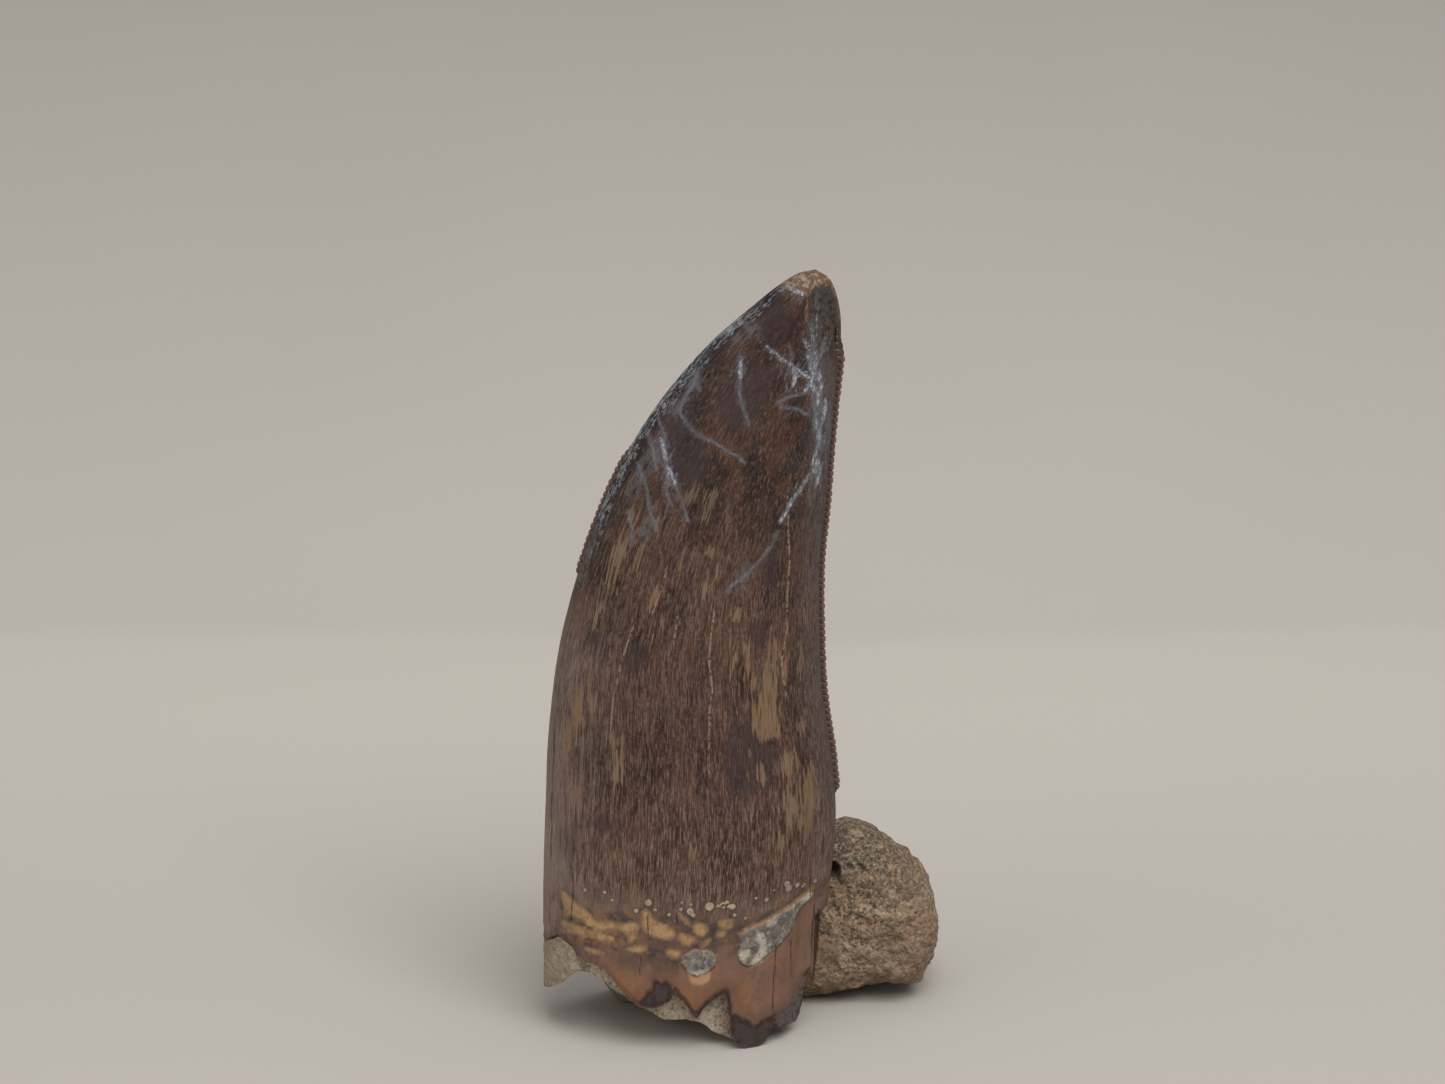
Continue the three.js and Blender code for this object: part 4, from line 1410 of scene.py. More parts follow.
@dataclass(frozen=True)
class Wire:
    """One output of a node; sums of wires and numbers are Math nodes."""

    graph: "Graph"
    socket: bpy.types.NodeSocket

    def __getitem__(self, name: str) -> "Wire":
        """Another output of the same node."""
        return Wire(self.graph, self.socket.node.outputs[name])

    def __add__(self, other: "Input") -> "Wire":
        """The wire plus other."""
        return self.graph.math("ADD", self, other)

    def __radd__(self, other: float) -> "Wire":
        """The number other plus the wire."""
        return self.graph.math("ADD", other, self)

    def __sub__(self, other: "Input") -> "Wire":
        """The wire less other."""
        return self.graph.math("SUBTRACT", self, other)

    def __rsub__(self, other: float) -> "Wire":
        """The number other less the wire."""
        return self.graph.math("SUBTRACT", other, self)

    def __mul__(self, other: "Input") -> "Wire":
        """The wire times other."""
        return self.graph.math("MULTIPLY", self, other)

    def __rtruediv__(self, other: float) -> "Wire":
        """The number other divided by the wire."""
        return self.graph.math("DIVIDE", other, self)

    def __abs__(self) -> "Wire":
        """The wire without its sign."""
        return self.graph.math("ABSOLUTE", self)


Input = Wire | float | tuple[float, ...]
Recipe = Callable[["Graph", dict[str, Wire]], dict[str, Wire]]


class Graph:
    """Puts nodes into one material or node group and joins them, laid out in rows."""

    per_row: int = 9
    spacing: Span = (220.0, 160.0)

    def __init__(self, tree: bpy.types.NodeTree) -> None:
        """Empties the node tree and starts in it."""
        self.tree = tree
        self.tree.nodes.clear()

    def place(self, kind: str, inputs: dict[str | int, Input], **settings: object) -> bpy.types.Node:
        """Adds a node.

        Args:
            kind: the node's type.
            inputs: a value or a wire for each input socket.
            settings: the node's own properties.

        Returns:
            The node.
        """
        made = self.tree.nodes.new(kind)
        row, column = divmod(len(self.tree.nodes), self.per_row)
        made.location = (self.spacing[0] * column, -self.spacing[1] * row)
        for label, value in settings.items():
            setattr(made, label, value)
        for label, value in inputs.items():
            if isinstance(value, Wire):
                self.tree.links.new(value.socket, made.inputs[label])
            else:
                made.inputs[label].default_value = value
        return made

    def node(
        self, kind: str, inputs: dict[str | int, Input], output: str | int = 0, **settings: object
    ) -> Wire:
        """Adds a node, as place does, and hands back one of its outputs."""
        return Wire(self, self.place(kind, inputs, **settings).outputs[output])

    def field(self, name: str) -> Wire:
        """A number kept on the mesh."""
        return self.node("ShaderNodeAttribute", {}, "Fac", attribute_name=name)

    def vector_field(self, name: str) -> Wire:
        """A vector kept on the mesh."""
        return self.node("ShaderNodeAttribute", {}, "Vector", attribute_name=name)

    def object_mm(self) -> Wire:
        """Object coordinates in millimetres."""
        return self.stretched(self.node("ShaderNodeTexCoord", {}, "Object"), (1000.0, 1000.0, 1000.0))

    def stretched(self, vector: Wire, scale: Point) -> Wire:
        """A vector with each part multiplied."""
        return self.node("ShaderNodeMapping", {"Vector": vector, "Scale": scale})

    def part(self, vector: Wire, axis: str) -> Wire:
        """One part of a vector, X, Y or Z."""
        return self.node("ShaderNodeSeparateXYZ", {0: vector}, axis)

    def math(self, operation: str, a: Input, b: Input = 0.0) -> Wire:
        """One sum of a Math node."""
        return self.node("ShaderNodeMath", {0: a, 1: b}, operation=operation)

    def larger(self, a: Input, b: Input) -> Wire:
        """The larger of two numbers."""
        return self.math("MAXIMUM", a, b)

    def smaller(self, a: Input, b: Input) -> Wire:
        """The smaller of two numbers."""
        return self.math("MINIMUM", a, b)

    def noise(self, vector: Wire, scale: Input, detail: float = 3.0, roughness: float = 0.5) -> Wire:
        """Noise of about 0.25 to 0.75: scale bumps per unit and detail finer layers, roughness strong."""
        inputs = {"Vector": vector, "Scale": scale, "Detail": detail, "Roughness": roughness}
        return self.node("ShaderNodeTexNoise", inputs)

    def step(self, value: Input, low: Input, high: Input) -> Wire:
        """Smoothstep from 0 at low to 1 at high; plain numbers may fall instead of rise.

        Args:
            value: what is measured.
            low: the value that gives 0.
            high: the value that gives 1.

        Returns:
            The share.
        """
        ends: dict[str | int, Input] = {"Value": value, "From Min": low, "From Max": high}
        if not isinstance(low, Wire) and not isinstance(high, Wire) and low > high:
            ends = {"Value": value, "From Min": high, "From Max": low, "To Min": 1.0, "To Max": 0.0}
        return self.node("ShaderNodeMapRange", ends, interpolation_type="SMOOTHSTEP")

    def patches(
        self, vector: Wire, scale: float, low: float, high: float, detail: float = 4.0, roughness: float = 0.6
    ) -> Wire:
        """Noise as patches with soft edges: 0 where it is below low, 1 where it is above high."""
        return self.step(self.noise(vector, scale, detail, roughness), low, high)

    def blend(self, share: Input, a: Input, b: Input) -> Wire:
        """Colour a with colour b laid over it as far as share says."""
        return self.node("ShaderNodeMix", {0: share, 6: a, 7: b}, 2, data_type="RGBA", clamp_factor=True)

    def group(self, name: str, inputs: dict[str, Input], recipe: Recipe) -> Wire:
        """Places a shared node group with its own values; the group is made when it is first asked for.

        Args:
            name: the group's name.
            inputs: each input's value, of which Vector is a vector and the others are numbers.
            recipe: works out the group's outputs from its inputs, in the group's own graph.

        Returns:
            The group's first output.
        """
        tree = bpy.data.node_groups.get(name)
        if tree is None:
            tree = bpy.data.node_groups.new(name, "ShaderNodeTree")
            inner = Graph(tree)
            for label in inputs:
                kind = "NodeSocketVector" if label == "Vector" else "NodeSocketFloat"
                tree.interface.new_socket(label, in_out="INPUT", socket_type=kind)
            given = inner.place("NodeGroupInput", {}).outputs
            results = recipe(inner, {label: Wire(inner, given[label]) for label in inputs})
            for label in results:
                tree.interface.new_socket(label, in_out="OUTPUT", socket_type="NodeSocketFloat")
            inner.place("NodeGroupOutput", results)
        return self.node("ShaderNodeGroup", inputs, node_tree=tree)


class Finish(Graph):
    """A new material's graph, with the effects that more than one finish uses, each a shared node group."""

    def __init__(self, name: str) -> None:
        """Starts an empty material.

        Args:
            name: the material's name.
        """
        self.made = bpy.data.materials.new(name)
        self.made.use_nodes = True
        super().__init__(self.made.node_tree)

    def surface(
        self, colour: Wire, roughness: Input, height: Wire, strength: float, specular: float
    ) -> bpy.types.Material:
        """Ends the material in one Principled shader with a bump.

        Args:
            colour: its colour.
            roughness: its roughness.
            height: bump height in mm.
            strength: how much of the bump shows, 0 to 1.
            specular: the shader's specular level.

        Returns:
            The material.
        """
        bump = self.node("ShaderNodeBump", {"Height": height, "Strength": strength, "Distance": MM})
        looks = {"Base Color": colour, "Roughness": roughness, "Specular IOR Level": specular}
        shader = self.node("ShaderNodeBsdfPrincipled", {**looks, "Normal": bump})
        self.place("ShaderNodeOutputMaterial", {"Surface": shader})
        return self.made

    def fibres(self, grain: Wire, width: float, length: float, low: float, high: float) -> Wire:
        """Streaks along the tooth.

        Args:
            grain: the grain vector in mm, its third part along the streaks.
            width: the streaks' width in mm.
            length: their length in mm.
            low: the noise that gives 0.
            high: the noise that gives 1.

        Returns:
            The mask.
        """

        def recipe(inner: Graph, given: dict[str, Wire]) -> dict[str, Wire]:
            """Noise on the vector divided by width, width and length.

            Args:
                inner: the group's graph.
                given: its inputs.

            Returns:
                Its outputs.
            """
            across, along = 1.0 / given["Width"], 1.0 / given["Length"]
            scale = inner.node("ShaderNodeCombineXYZ", {0: across, 1: across, 2: along})
            place = inner.node("ShaderNodeVectorMath", {0: given["Vector"], 1: scale}, operation="MULTIPLY")
            return {"Mask": inner.step(inner.noise(place, 1.0, 3.0, 0.55), given["Low"], given["High"])}

        inputs = {"Vector": grain, "Width": width, "Length": length, "Low": low, "High": high}
        return self.group("fibres", inputs, recipe)

    def drawn_line(self, mark: str, half_width: Input, broken: Input, wobble: Input | None = None) -> Wire:
        """A thin line along the mesh's lines of one kind.

        Args:
            mark: the kind, which has a signed and a plain distance on the mesh.
            half_width: half the line's width in mm.
            broken: how much of it shows, 0 to 1.
            wobble: how far it is moved sideways in mm.

        Returns:
            The mask.
        """

        def recipe(inner: Graph, given: dict[str, Wire]) -> dict[str, Wire]:
            """Where the signed distance passes 0, near the line only.

            Args:
                inner: the group's graph.
                given: its inputs.

            Returns:
                Its outputs.
            """
            wide = given["Half Width"] * 2.0
            line = 1.0 - inner.step(abs(given["Side"]), wide * 0.2, wide)
            return {"Mask": line * inner.step(given["Near"], 0.34, 0.24) * given["Break"]}

        side = self.field(mark + "_side")
        side = side if wobble is None else side + wobble
        inputs = {"Side": side, "Near": self.field(mark + "_near"), "Half Width": half_width, "Break": broken}
        return self.group("drawn_line", inputs, recipe)

    def cloud(self, vector: Wire, size: float, low: float, high: float) -> Wire:
        """Soft patches: noise between two thresholds.

        Args:
            vector: where.
            size: the patches' size in mm.
            low: the noise that gives 0.
            high: the noise that gives 1.

        Returns:
            The mask.
        """

        def recipe(inner: Graph, given: dict[str, Wire]) -> dict[str, Wire]:
            """Noise with four layers."""
            value = inner.noise(given["Vector"], 1.0 / given["Size"], 4.0, 0.55)
            return {"Mask": inner.step(value, given["Low"], given["High"])}

        return self.group("cloud", {"Vector": vector, "Size": size, "Low": low, "High": high}, recipe)

    def sand(self, vector: Wire, size: float) -> Wire:
        """Grains of sand.

        Args:
            vector: where.
            size: their size in mm.

        Returns:
            Each grain's Tone, Kind and rounded Grain.
        """

        def recipe(inner: Graph, given: dict[str, Wire]) -> dict[str, Wire]:
            """Cells, each with its own random colour.

            Args:
                inner: the group's graph.
                given: its inputs.

            Returns:
                Its outputs.
            """
            scale = 1.0 / given["Size"]
            cells = inner.node("ShaderNodeTexVoronoi", {"Vector": given["Vector"], "Scale": scale})
            parts = inner.node("ShaderNodeSeparateColor", {0: cells["Color"]})
            grain = inner.step(cells["Distance"], 0.75, 0.1)
            return {"Tone": parts["Red"], "Kind": parts["Green"], "Grain": grain}

        return self.group("sand", {"Vector": vector, "Size": size}, recipe)


@dataclass(frozen=True)
class EnamelFinish:
    """The tooth's outside: dark brown enamel with wood-like fibres, a creamy band at its foot, dentine."""

    dark: Colour = paint(42, 27, 23)
    brown: Colour = paint(84, 59, 49)
    light_brown: Colour = paint(104, 80, 66)
    pale_fibre: Colour = paint(136, 117, 102)
    upper_dark: Colour = paint(27, 20, 20)
    upper_warm: Colour = paint(67, 44, 34)
    # Pale wear, also laid as painted sheen along the front edge.
    worn: Colour = paint(144, 126, 116)
    # Grey of the painted sheen on the flat strip by the rear edge.
    strip: Colour = paint(84, 77, 76)
    tan: Colour = paint(120, 101, 81)
    tan_rich: Colour = paint(122, 97, 73)
    dusk: Colour = paint(52, 45, 47)
    vein: Colour = paint(124, 130, 138)
    vein_white: Colour = paint(180, 186, 188)
    haze: Colour = paint(94, 94, 99)
    edge_pale: Colour = paint(150, 155, 157)
    edge_dark: Colour = paint(34, 31, 32)
    hairline: Colour = paint(132, 112, 92)
    crack: Colour = paint(34, 25, 23)
    band: Colour = paint(98, 75, 64)
    band_blue: Colour = paint(64, 57, 58)
    band_tan: Colour = paint(136, 106, 80)
    cream: Colour = paint(168, 135, 96)
    cream_deep: Colour = paint(130, 101, 75)
    dentine: Colour = paint(113, 88, 76)
    dentine_pale: Colour = paint(122, 95, 81)
    dentine_dark: Colour = paint(86, 67, 60)
    dentine_warm: Colour = paint(138, 95, 62)
    crust: Colour = paint(142, 135, 126)
    crust_pale: Colour = paint(200, 190, 175)
    crust_dark: Colour = paint(88, 85, 82)
    crust_foot: Colour = paint(172, 134, 100)
    burnt: Colour = paint(42, 35, 36)
    burnt_blue: Colour = paint(60, 56, 59)
    burnt_red: Colour = paint(76, 55, 50)
    burnt_grey: Colour = paint(98, 91, 86)
    crust_brown: Colour = paint(126, 108, 90)
    foot_grey: Colour = paint(100, 85, 77)
    foot_pale: Colour = paint(122, 103, 88)
    bead: Colour = paint(178, 154, 130)
    tip_cream: Colour = paint(148, 134, 118)
    tip_rust: Colour = paint(104, 77, 58)
    maroon: Colour = paint(40, 21, 20)
    facet: Colour = paint(66, 61, 56)
    facet_rim: Colour = paint(128, 100, 74)

    def crown_colour(self, g: Finish, grain: Wire) -> Wire:
        """Brown with fibres, darker and cloudier towards the tip, worn and lightened with painted sheen along
        the front edge, with tan flecks.

        Args:
            g: the material's graph.
            grain: the grain vector in mm.

        Returns:
            The colour.
        """
        height = g.part(grain, "Z")
        upper = g.step(height, 48.0, 62.0)
        low = g.step(height, 36.0, 16.0)
        broad = g.cloud(g.stretched(grain, FLATTENED), 4.2, 0.4, 0.57)
        medium = g.fibres(grain, 0.34, 3.2, 0.42, 0.62)
        pale = g.fibres(grain, 0.1, 1.35, 0.48, 0.62)
        dark = g.fibres(grain, 0.14, 2.8, 0.49, 0.62)
        base = g.blend(broad * 0.7 + low * 0.3, self.dark, self.brown)
        warmth = g.patches(g.stretched(grain, (0.4, 0.4, 0.17)), 1.0, 0.43, 0.6, 5.0, 0.62)
        tipwards = g.blend(warmth, self.upper_dark, self.upper_warm)
        colour = g.blend(upper * 0.9, base, tipwards)
        grey = g.cloud(grain, 2.6, 0.52, 0.64)
        colour = g.blend(grey * 0.5, colour, self.dusk)
        medium_share = 0.28 + (low * 0.2 - upper * 0.14)
        colour = g.blend(medium * medium_share, colour, self.light_brown)
        # Pale wear and painted sheen: the front (mesial) edge and the face beside it are lightened.
        side_wear_and_sheen = g.step(g.field("mesial") + medium * 1.1, 3.3, 0.1) * g.step(height, 52.0, 36.0)
        colour = g.blend(side_wear_and_sheen * (0.36 + low * 0.42), colour, self.worn)
        broad_wear_and_sheen = g.step(g.field("mesial"), 7.5, 1.5) * g.step(height, 50.0, 38.0)
        broad_wear_and_sheen = broad_wear_and_sheen * (0.2 + medium * 0.34)
        colour = g.blend(broad_wear_and_sheen, colour, self.worn)
        # Painted reflection: a grey sheen on the flat strip beside the rear edge.
        rear = g.step(g.field("distal") + medium * 0.5, 3.4, 1.4)
        colour = g.blend(rear * 0.5, colour, self.strip)
        pale_share = pale * (0.36 + low * 0.32 - upper * 0.2)
        colour = g.blend(pale_share, colour, self.pale_fibre)
        colour = g.blend(dark * (0.55 - low * 0.12), colour, self.dark)
        speck = g.noise(g.stretched(grain, FLATTENED), 3.6, 4.0, 0.75)
        colour = g.blend(g.step(speck, 0.52, 0.66) * 0.26, colour, self.pale_fibre)
        colour = g.blend(g.step(speck, 0.47, 0.34) * 0.5, colour, self.dark)

        ragged = g.noise(g.stretched(grain, (2.0, 2.0, 0.5)), 1.0, 4.0, 0.6)
        wave = (ragged - 0.5) * 2.0
        fringe = (g.fibres(grain, 0.28, 3.0, 0.32, 0.68) - 0.5) * 0.85
        frayed = wave * 0.36 + fringe
        dusk = g.step(g.field("dusk") + frayed, 0.6, -0.5)
        colour = g.blend(dusk * 0.6, colour, self.dusk)
        fleck_noise = g.noise(g.stretched(grain, (1.25, 1.25, 0.42)), 1.0, 3.0, 0.6)
        fleck = g.step(fleck_noise, 0.64, 0.71) * g.step(height, 60.0, 50.0)
        fleck = fleck * g.step(g.field("glaze"), 0.6, 4.0)
        blot = g.step(g.field("tan") + frayed, 0.04, -0.2)
        tan = g.larger(fleck * 0.5, blot * (0.85 - upper * 0.4)) * (1.0 - dark * 0.6)
        rich = g.cloud(grain, 3.0, 0.45, 0.6)
        return g.blend(tan, colour, g.blend(rich, self.tan, self.tan_rich))

    def marked(self, g: Finish, grain: Wire, colour: Wire) -> Wire:
        """Lays haze, the ragged pale edge, blue-white veins and dotted hairlines over the crown.

        Args:
            g: the material's graph.
            grain: the grain vector in mm.
            colour: the crown's colour.

        Returns:
            The colour with its marks.
        """
        height = g.part(grain, "Z")
        mottled = g.noise(grain, 1.5, 5.0, 0.68)
        speckled = g.noise(g.stretched(grain, FLATTENED), 2.8, 4.0, 0.72)
        mesial = g.field("mesial")
        side = g.smaller(mesial, g.field("distal") * 1.1)
        veil = g.noise(g.stretched(grain, (0.9, 0.9, 0.38)), 1.0, 5.0, 0.66)
        veil = g.step(veil - side * 0.04, 0.44, 0.58)
        veil = veil * g.step(height, 47.0, 54.0) * g.step(height, 76.0, 66.0)
        colour = g.blend(veil * 0.33, colour, self.haze)
        high_edge = g.step(height + (g.noise(grain, 0.45, 4.0, 0.65) - 0.5) * 18.0, 47.0, 55.0)
        ground = g.step(mesial + mottled * 1.8, 2.6, 1.5)
        colour = g.blend(ground * high_edge * 0.8, colour, self.edge_dark)
        flecks = speckled - mesial * 0.2 + (g.noise(grain, 0.32, 3.0, 0.6) - 0.5) * 0.32
        flecks = g.step(flecks, 0.475, 0.535) * (high_edge * g.step(height, 78.0, 74.0))
        colour = g.blend(flecks * 0.75, colour, self.edge_pale)
        rim_place = mesial + (g.noise(g.stretched(grain, (1.0, 1.0, 0.4)), 0.9, 4.0, 0.62) - 0.5) * 2.2
        rim = g.step(rim_place, 0.95, 0.6) * g.step(rim_place, 0.05, 0.3)
        rim = rim * high_edge * g.patches(grain, 1.7, 0.49, 0.58, 4.0, 0.7)
        colour = g.blend(rim * 0.7, colour, self.vein)
        smudge = g.step(g.field("haze") + (mottled - 0.5) * 4.0, 0.4, -0.5)
        colour = g.blend(smudge * 0.5, colour, self.haze)
        wobble = (g.noise(grain, 1.5, 6.0, 0.76) - 0.5) * 0.8
        thin = g.noise(g.stretched(grain, (1.0, 1.0, 0.7)), 3.4, 3.0, 0.65)
        halo = g.smaller(g.field("vein_near"), g.field("wisp_near") + 0.12)
        halo = g.step(halo + (mottled - 0.5) * 2.2, 0.65, -0.2)
        colour = g.blend(halo * 0.42, colour, self.haze)
        wisp_break = g.step(mottled, 0.36, 0.66) * 0.42
        wisp = g.drawn_line("wisp", 0.12, wisp_break, wobble)
        colour = g.blend(wisp, colour, self.vein)
        weave = abs(g.noise(g.stretched(grain, (0.75, 0.75, 0.26)), 1.0, 4.0, 0.55) - 0.5)
        strand = g.step(weave, 0.02, 0.004) * g.step(g.field("vein_near"), 1.5, 0.4)
        strand = strand * g.step(speckled, 0.42, 0.6)
        colour = g.blend(strand * 0.6, colour, self.vein)
        broken = g.patches(grain, 0.9, 0.34, 0.56, 4.0, 0.65)
        vein_break = (0.36 + broken * 0.64) * (0.5 + g.step(thin, 0.36, 0.6) * 0.5)
        vein = g.drawn_line("vein", g.step(mottled, 0.26, 0.64) * 0.2, vein_break, wobble)
        colour = g.blend(vein, colour, g.blend(g.step(thin, 0.5, 0.64) * broken, self.vein, self.vein_white))
        dots = g.patches(grain, 2.6, 0.4, 0.56, 2.0)
        hair = g.drawn_line("hair", 0.07, dots, wobble * 0.4)
        return g.blend(hair * g.step(height, 70.0, 54.0), colour, self.hairline)

    def banded(self, g: Finish, grain: Wire, place: Wire, crown: Wire) -> Wire:
        """Below the enamel: the mottled band with cream patches and beads, dentine, crust and burnt points.

        Args:
            g: the material's graph.
            grain: the grain vector in mm.
            place: object coordinates in mm.
            crown: the colour above the band.

        Returns:
            The colour of the whole outside.
        """
        ragged = g.noise(place, 1.1, 5.0, 0.62) - 0.5
        mottle = g.noise(place, 0.75, 5.0, 0.65)
        band = g.blend(g.step(mottle, 0.46, 0.6), self.band, self.band_blue)
        band = g.blend(g.patches(place, 1.5, 0.54, 0.68) * 0.6, band, self.cream_deep)
        streak = g.fibres(grain, 0.4, 5.0, 0.42, 0.62)
        fine = g.fibres(grain, 0.2, 2.0, 0.4, 0.64)
        left = g.step(g.part(place, "X"), -8.0, -13.5)
        band = g.blend(left * g.step(mottle, 0.62, 0.44) * 0.6, band, self.band_tan)
        paler = g.patches(g.stretched(place, FLATTENED), 0.7, 0.4, 0.6, 5.0)
        foot_tone = g.blend(paler, self.foot_grey, self.foot_pale)
        to_foot = g.step(g.field("glaze") + ragged * 4.0, 3.4, 0.0)
        # The extra share on the left is painted sheen.
        crown = g.blend(to_foot * (0.42 + left * 0.3), crown, foot_tone)
        in_band = g.step(g.field("glaze") + ragged * 2.4, 0.8, -0.8)
        colour = g.blend(in_band, crown, band)

        dentine = g.blend(g.cloud(place, 2.6, 0.4, 0.62), self.dentine, self.dentine_pale)
        dentine = g.blend(streak * 0.24, dentine, self.dentine_dark)
        dentine = g.blend(g.step(mottle, 0.53, 0.63) * 0.5, dentine, self.dentine_dark)
        low_down = g.step(g.part(place, "Z") + ragged * 6.0, 10.5, 4.5)
        warm = g.patches(place, 0.5, 0.5, 0.36) * 0.4
        warm = warm + low_down * g.step(g.part(place, "X"), 6.0, -6.0)
        dentine = g.blend(warm * 0.7, dentine, self.dentine_warm)
        below_band = g.step(g.field("band"), -2.6, -0.4) * g.patches(place, 0.6, 0.4, 0.58)
        dentine = g.blend(below_band * 0.5, dentine, self.band_blue)
        is_dentine = g.step(g.field("band") + ragged * 2.0, 0.3, -0.6)
        colour = g.blend(is_dentine, colour, dentine)

        torn = g.field("cream") + ragged * 1.5
        halo = g.step(torn, 0.55, 0.2) * g.step(mottle, 0.4, 0.52)
        colour = g.blend(halo * 0.62, colour, self.band_blue)
        around = g.step(torn, 0.55, 0.1) * g.patches(place, 1.1, 0.48, 0.58, 3.0)
        colour = g.blend(around * 0.7, colour, self.cream_deep)
        cream = g.blend(g.patches(place, 1.5, 0.42, 0.66) * 0.75, self.cream, self.cream_deep)
        cream = g.blend(fine * 0.22, cream, self.cream_deep)
        faded = 0.62 + g.patches(place, 0.55, 0.38, 0.56) * 0.32
        colour = g.blend(g.step(torn, 0.28, -0.28) * faded, colour, cream)
        # Wear and painted sheen on the low front edge.
        scraped_and_sheen = g.step(g.field("mesial") + streak * 1.6, 4.2, 0.4)
        scraped_and_sheen = scraped_and_sheen * g.step(g.part(place, "Z"), 34.0, 18.0)
        colour = g.blend(scraped_and_sheen * 0.62, colour, g.blend(fine, self.foot_pale, self.worn))

        bead = g.field("bead") + ragged * 0.7
        colour = g.blend(g.step(bead, 2.0, 1.2) * 0.5, colour, self.band_blue)
        colour = g.blend(g.step(bead, 1.15, 0.8) * (0.5 + g.step(mottle, 0.4, 0.6) * 0.4), colour, self.bead)
        pupil = g.step(bead, 0.6, 0.35) * g.patches(place, 0.9, 0.46, 0.54, 1.0, 0.5)
        colour = g.blend(pupil * 0.75, colour, self.band_blue)

        foot = g.step(g.field("crust_foot") + ragged * 0.8, 0.2, -0.25)
        colour = g.blend(foot * 0.85, colour, self.crust_foot)
        grit = g.noise(place, 2.4, 5.0, 0.72)
        crust = g.blend(g.step(grit, 0.3, 0.6), self.crust_dark, self.crust)
        crust = g.blend(g.patches(place, 0.7, 0.48, 0.6, 3.0, 0.5) * 0.6, crust, self.crust_brown)
        deep = g.step(g.field("crust"), -0.3, -0.8) * g.patches(place, 0.8, 0.42, 0.54)
        crust = g.blend(deep * 0.6, crust, self.crust_dark)
        pale = g.step(g.field("crust_pale") + ragged * 1.2, 0.3, -0.3)
        crust = g.blend(pale * (0.55 + grit * 0.6), crust, self.crust_pale)
        bleached = g.patches(g.stretched(place, FLATTENED), 1.5, 0.54, 0.68, 4.0, 0.66)
        crust = g.blend(bleached * 0.6, crust, self.crust_pale)
        crust = g.blend(g.patches(place, 2.4, 0.38, 0.3, 3.0, 0.7), crust, self.crust_dark)
        is_crust = g.step(g.field("crust") + ragged * 0.9, 0.12, -0.1)
        colour = g.blend(is_crust, colour, crust)

        scorched = g.field("burnt") + ragged * 1.1
        char = g.step(scorched, 0.35, -0.25)
        edge_dark = g.step(g.field("above_break") + ragged * 1.1, 0.95, 0.5) * (0.85 - left * 0.6)
        core = g.step(scorched, -0.2, -0.6) * g.patches(place, 0.9, 0.36, 0.5)
        black = g.blend(core * 0.85, self.burnt, self.burnt_blue)
        black = g.blend(g.patches(place, 1.2, 0.5, 0.62) * 0.6, black, self.burnt_red)
        stony = g.step(g.part(place, "X") + ragged * 1.6, 2.9, 3.8) * g.step(grit, 0.36, 0.56)
        black = g.blend(stony * 0.85, black, self.burnt_grey)
        colour = g.blend(g.step(scorched, 1.7, 0.2) * 0.42, colour, self.dentine_dark)
        colour = g.blend(g.larger(char, edge_dark) * 0.9, colour, black)
        wobble = (g.noise(place, 1.6, 3.0) - 0.5) * 0.3
        crack = g.drawn_line("crack", 0.045, 0.3 + g.step(mottle, 0.4, 0.55) * 0.5, wobble)
        return g.blend(crack, colour, self.crack)

    def tipped(self, g: Finish, place: Wire, colour: Wire) -> Wire:
        """The worn tip: mottled cream and rust on top, a dark olive facet with a light rim behind.

        Args:
            g: the material's graph.
            place: object coordinates in mm.
            colour: the colour below.

        Returns:
            The colour with the tip's wear.
        """
        z = g.part(place, "Z")
        uneven = g.noise(place, 1.5, 5.0, 0.68)
        rust = g.step(z + g.noise(place, 0.8, 4.0, 0.6) * 6.0, 76.4, 78.4)
        colour = g.blend(rust * 0.7, colour, self.tip_rust)
        under_tip = g.step(z, 65.0, 69.5) * g.step(z + uneven * 3.0, 75.5, 73.5)
        under_tip = under_tip * g.step(g.field("mesial"), 1.2, 3.4)
        colour = g.blend(under_tip * g.step(uneven, 0.36, 0.56) * 0.6, colour, self.maroon)
        facet = g.field("facet")
        high = g.step(z + uneven * 3.0, 70.6, 73.4)
        ground = g.step(facet + (uneven - 0.5) * 0.5, 0.5, 0.85) * high
        olive = g.blend(g.step(uneven, 0.45, 0.65), self.facet, self.upper_dark)
        colour = g.blend(ground * 0.8, colour, olive)
        rim = g.step(facet, 0.3, 0.5) * g.step(facet, 0.85, 0.6) * high * g.step(uneven, 0.4, 0.56)
        colour = g.blend(rim * 0.7, colour, self.facet_rim)
        top = g.step(z + uneven * 5.0, 76.3, 77.3)
        mottle = g.blend(g.patches(place, 1.9, 0.42, 0.56, 4.0, 0.7), self.tip_cream, self.tip_rust)
        mottle = g.blend(g.patches(place, 1.3, 0.55, 0.64, 4.0, 0.7) * 0.8, mottle, self.facet)
        return g.blend(top * 0.88, colour, mottle)

    def material(self) -> bpy.types.Material:
        """Builds the material.

        Returns:
            The finish of the tooth's outside.
        """
        g = Finish("brown_enamel_and_dentine")
        grain, place = g.vector_field("grain"), g.object_mm()
        colour = self.banded(g, grain, place, self.marked(g, grain, self.crown_colour(g, grain)))
        colour = self.tipped(g, place, colour)
        fine = g.fibres(grain, 0.2, 2.4, 0.3, 0.7)
        medium = g.fibres(grain, 0.7, 7.0, 0.3, 0.7)
        grit = g.noise(place, 3.0, 5.0, 0.72)
        is_crust = g.step(g.field("crust"), 0.1, -0.15)
        height = fine * 0.02 + medium * 0.035 + is_crust * grit * 0.4
        crack = g.drawn_line("crack", 0.07, 1.0)
        height = height - crack * 0.06
        roughness = 0.46 + g.noise(place, 0.5, 4.0, 0.6) * 0.2 + g.step(g.field("band"), 0.4, -0.4) * 0.08
        roughness = g.smaller(roughness + is_crust * 0.3, 0.92)
        return g.surface(colour, roughness, height, 1.0, 0.12)


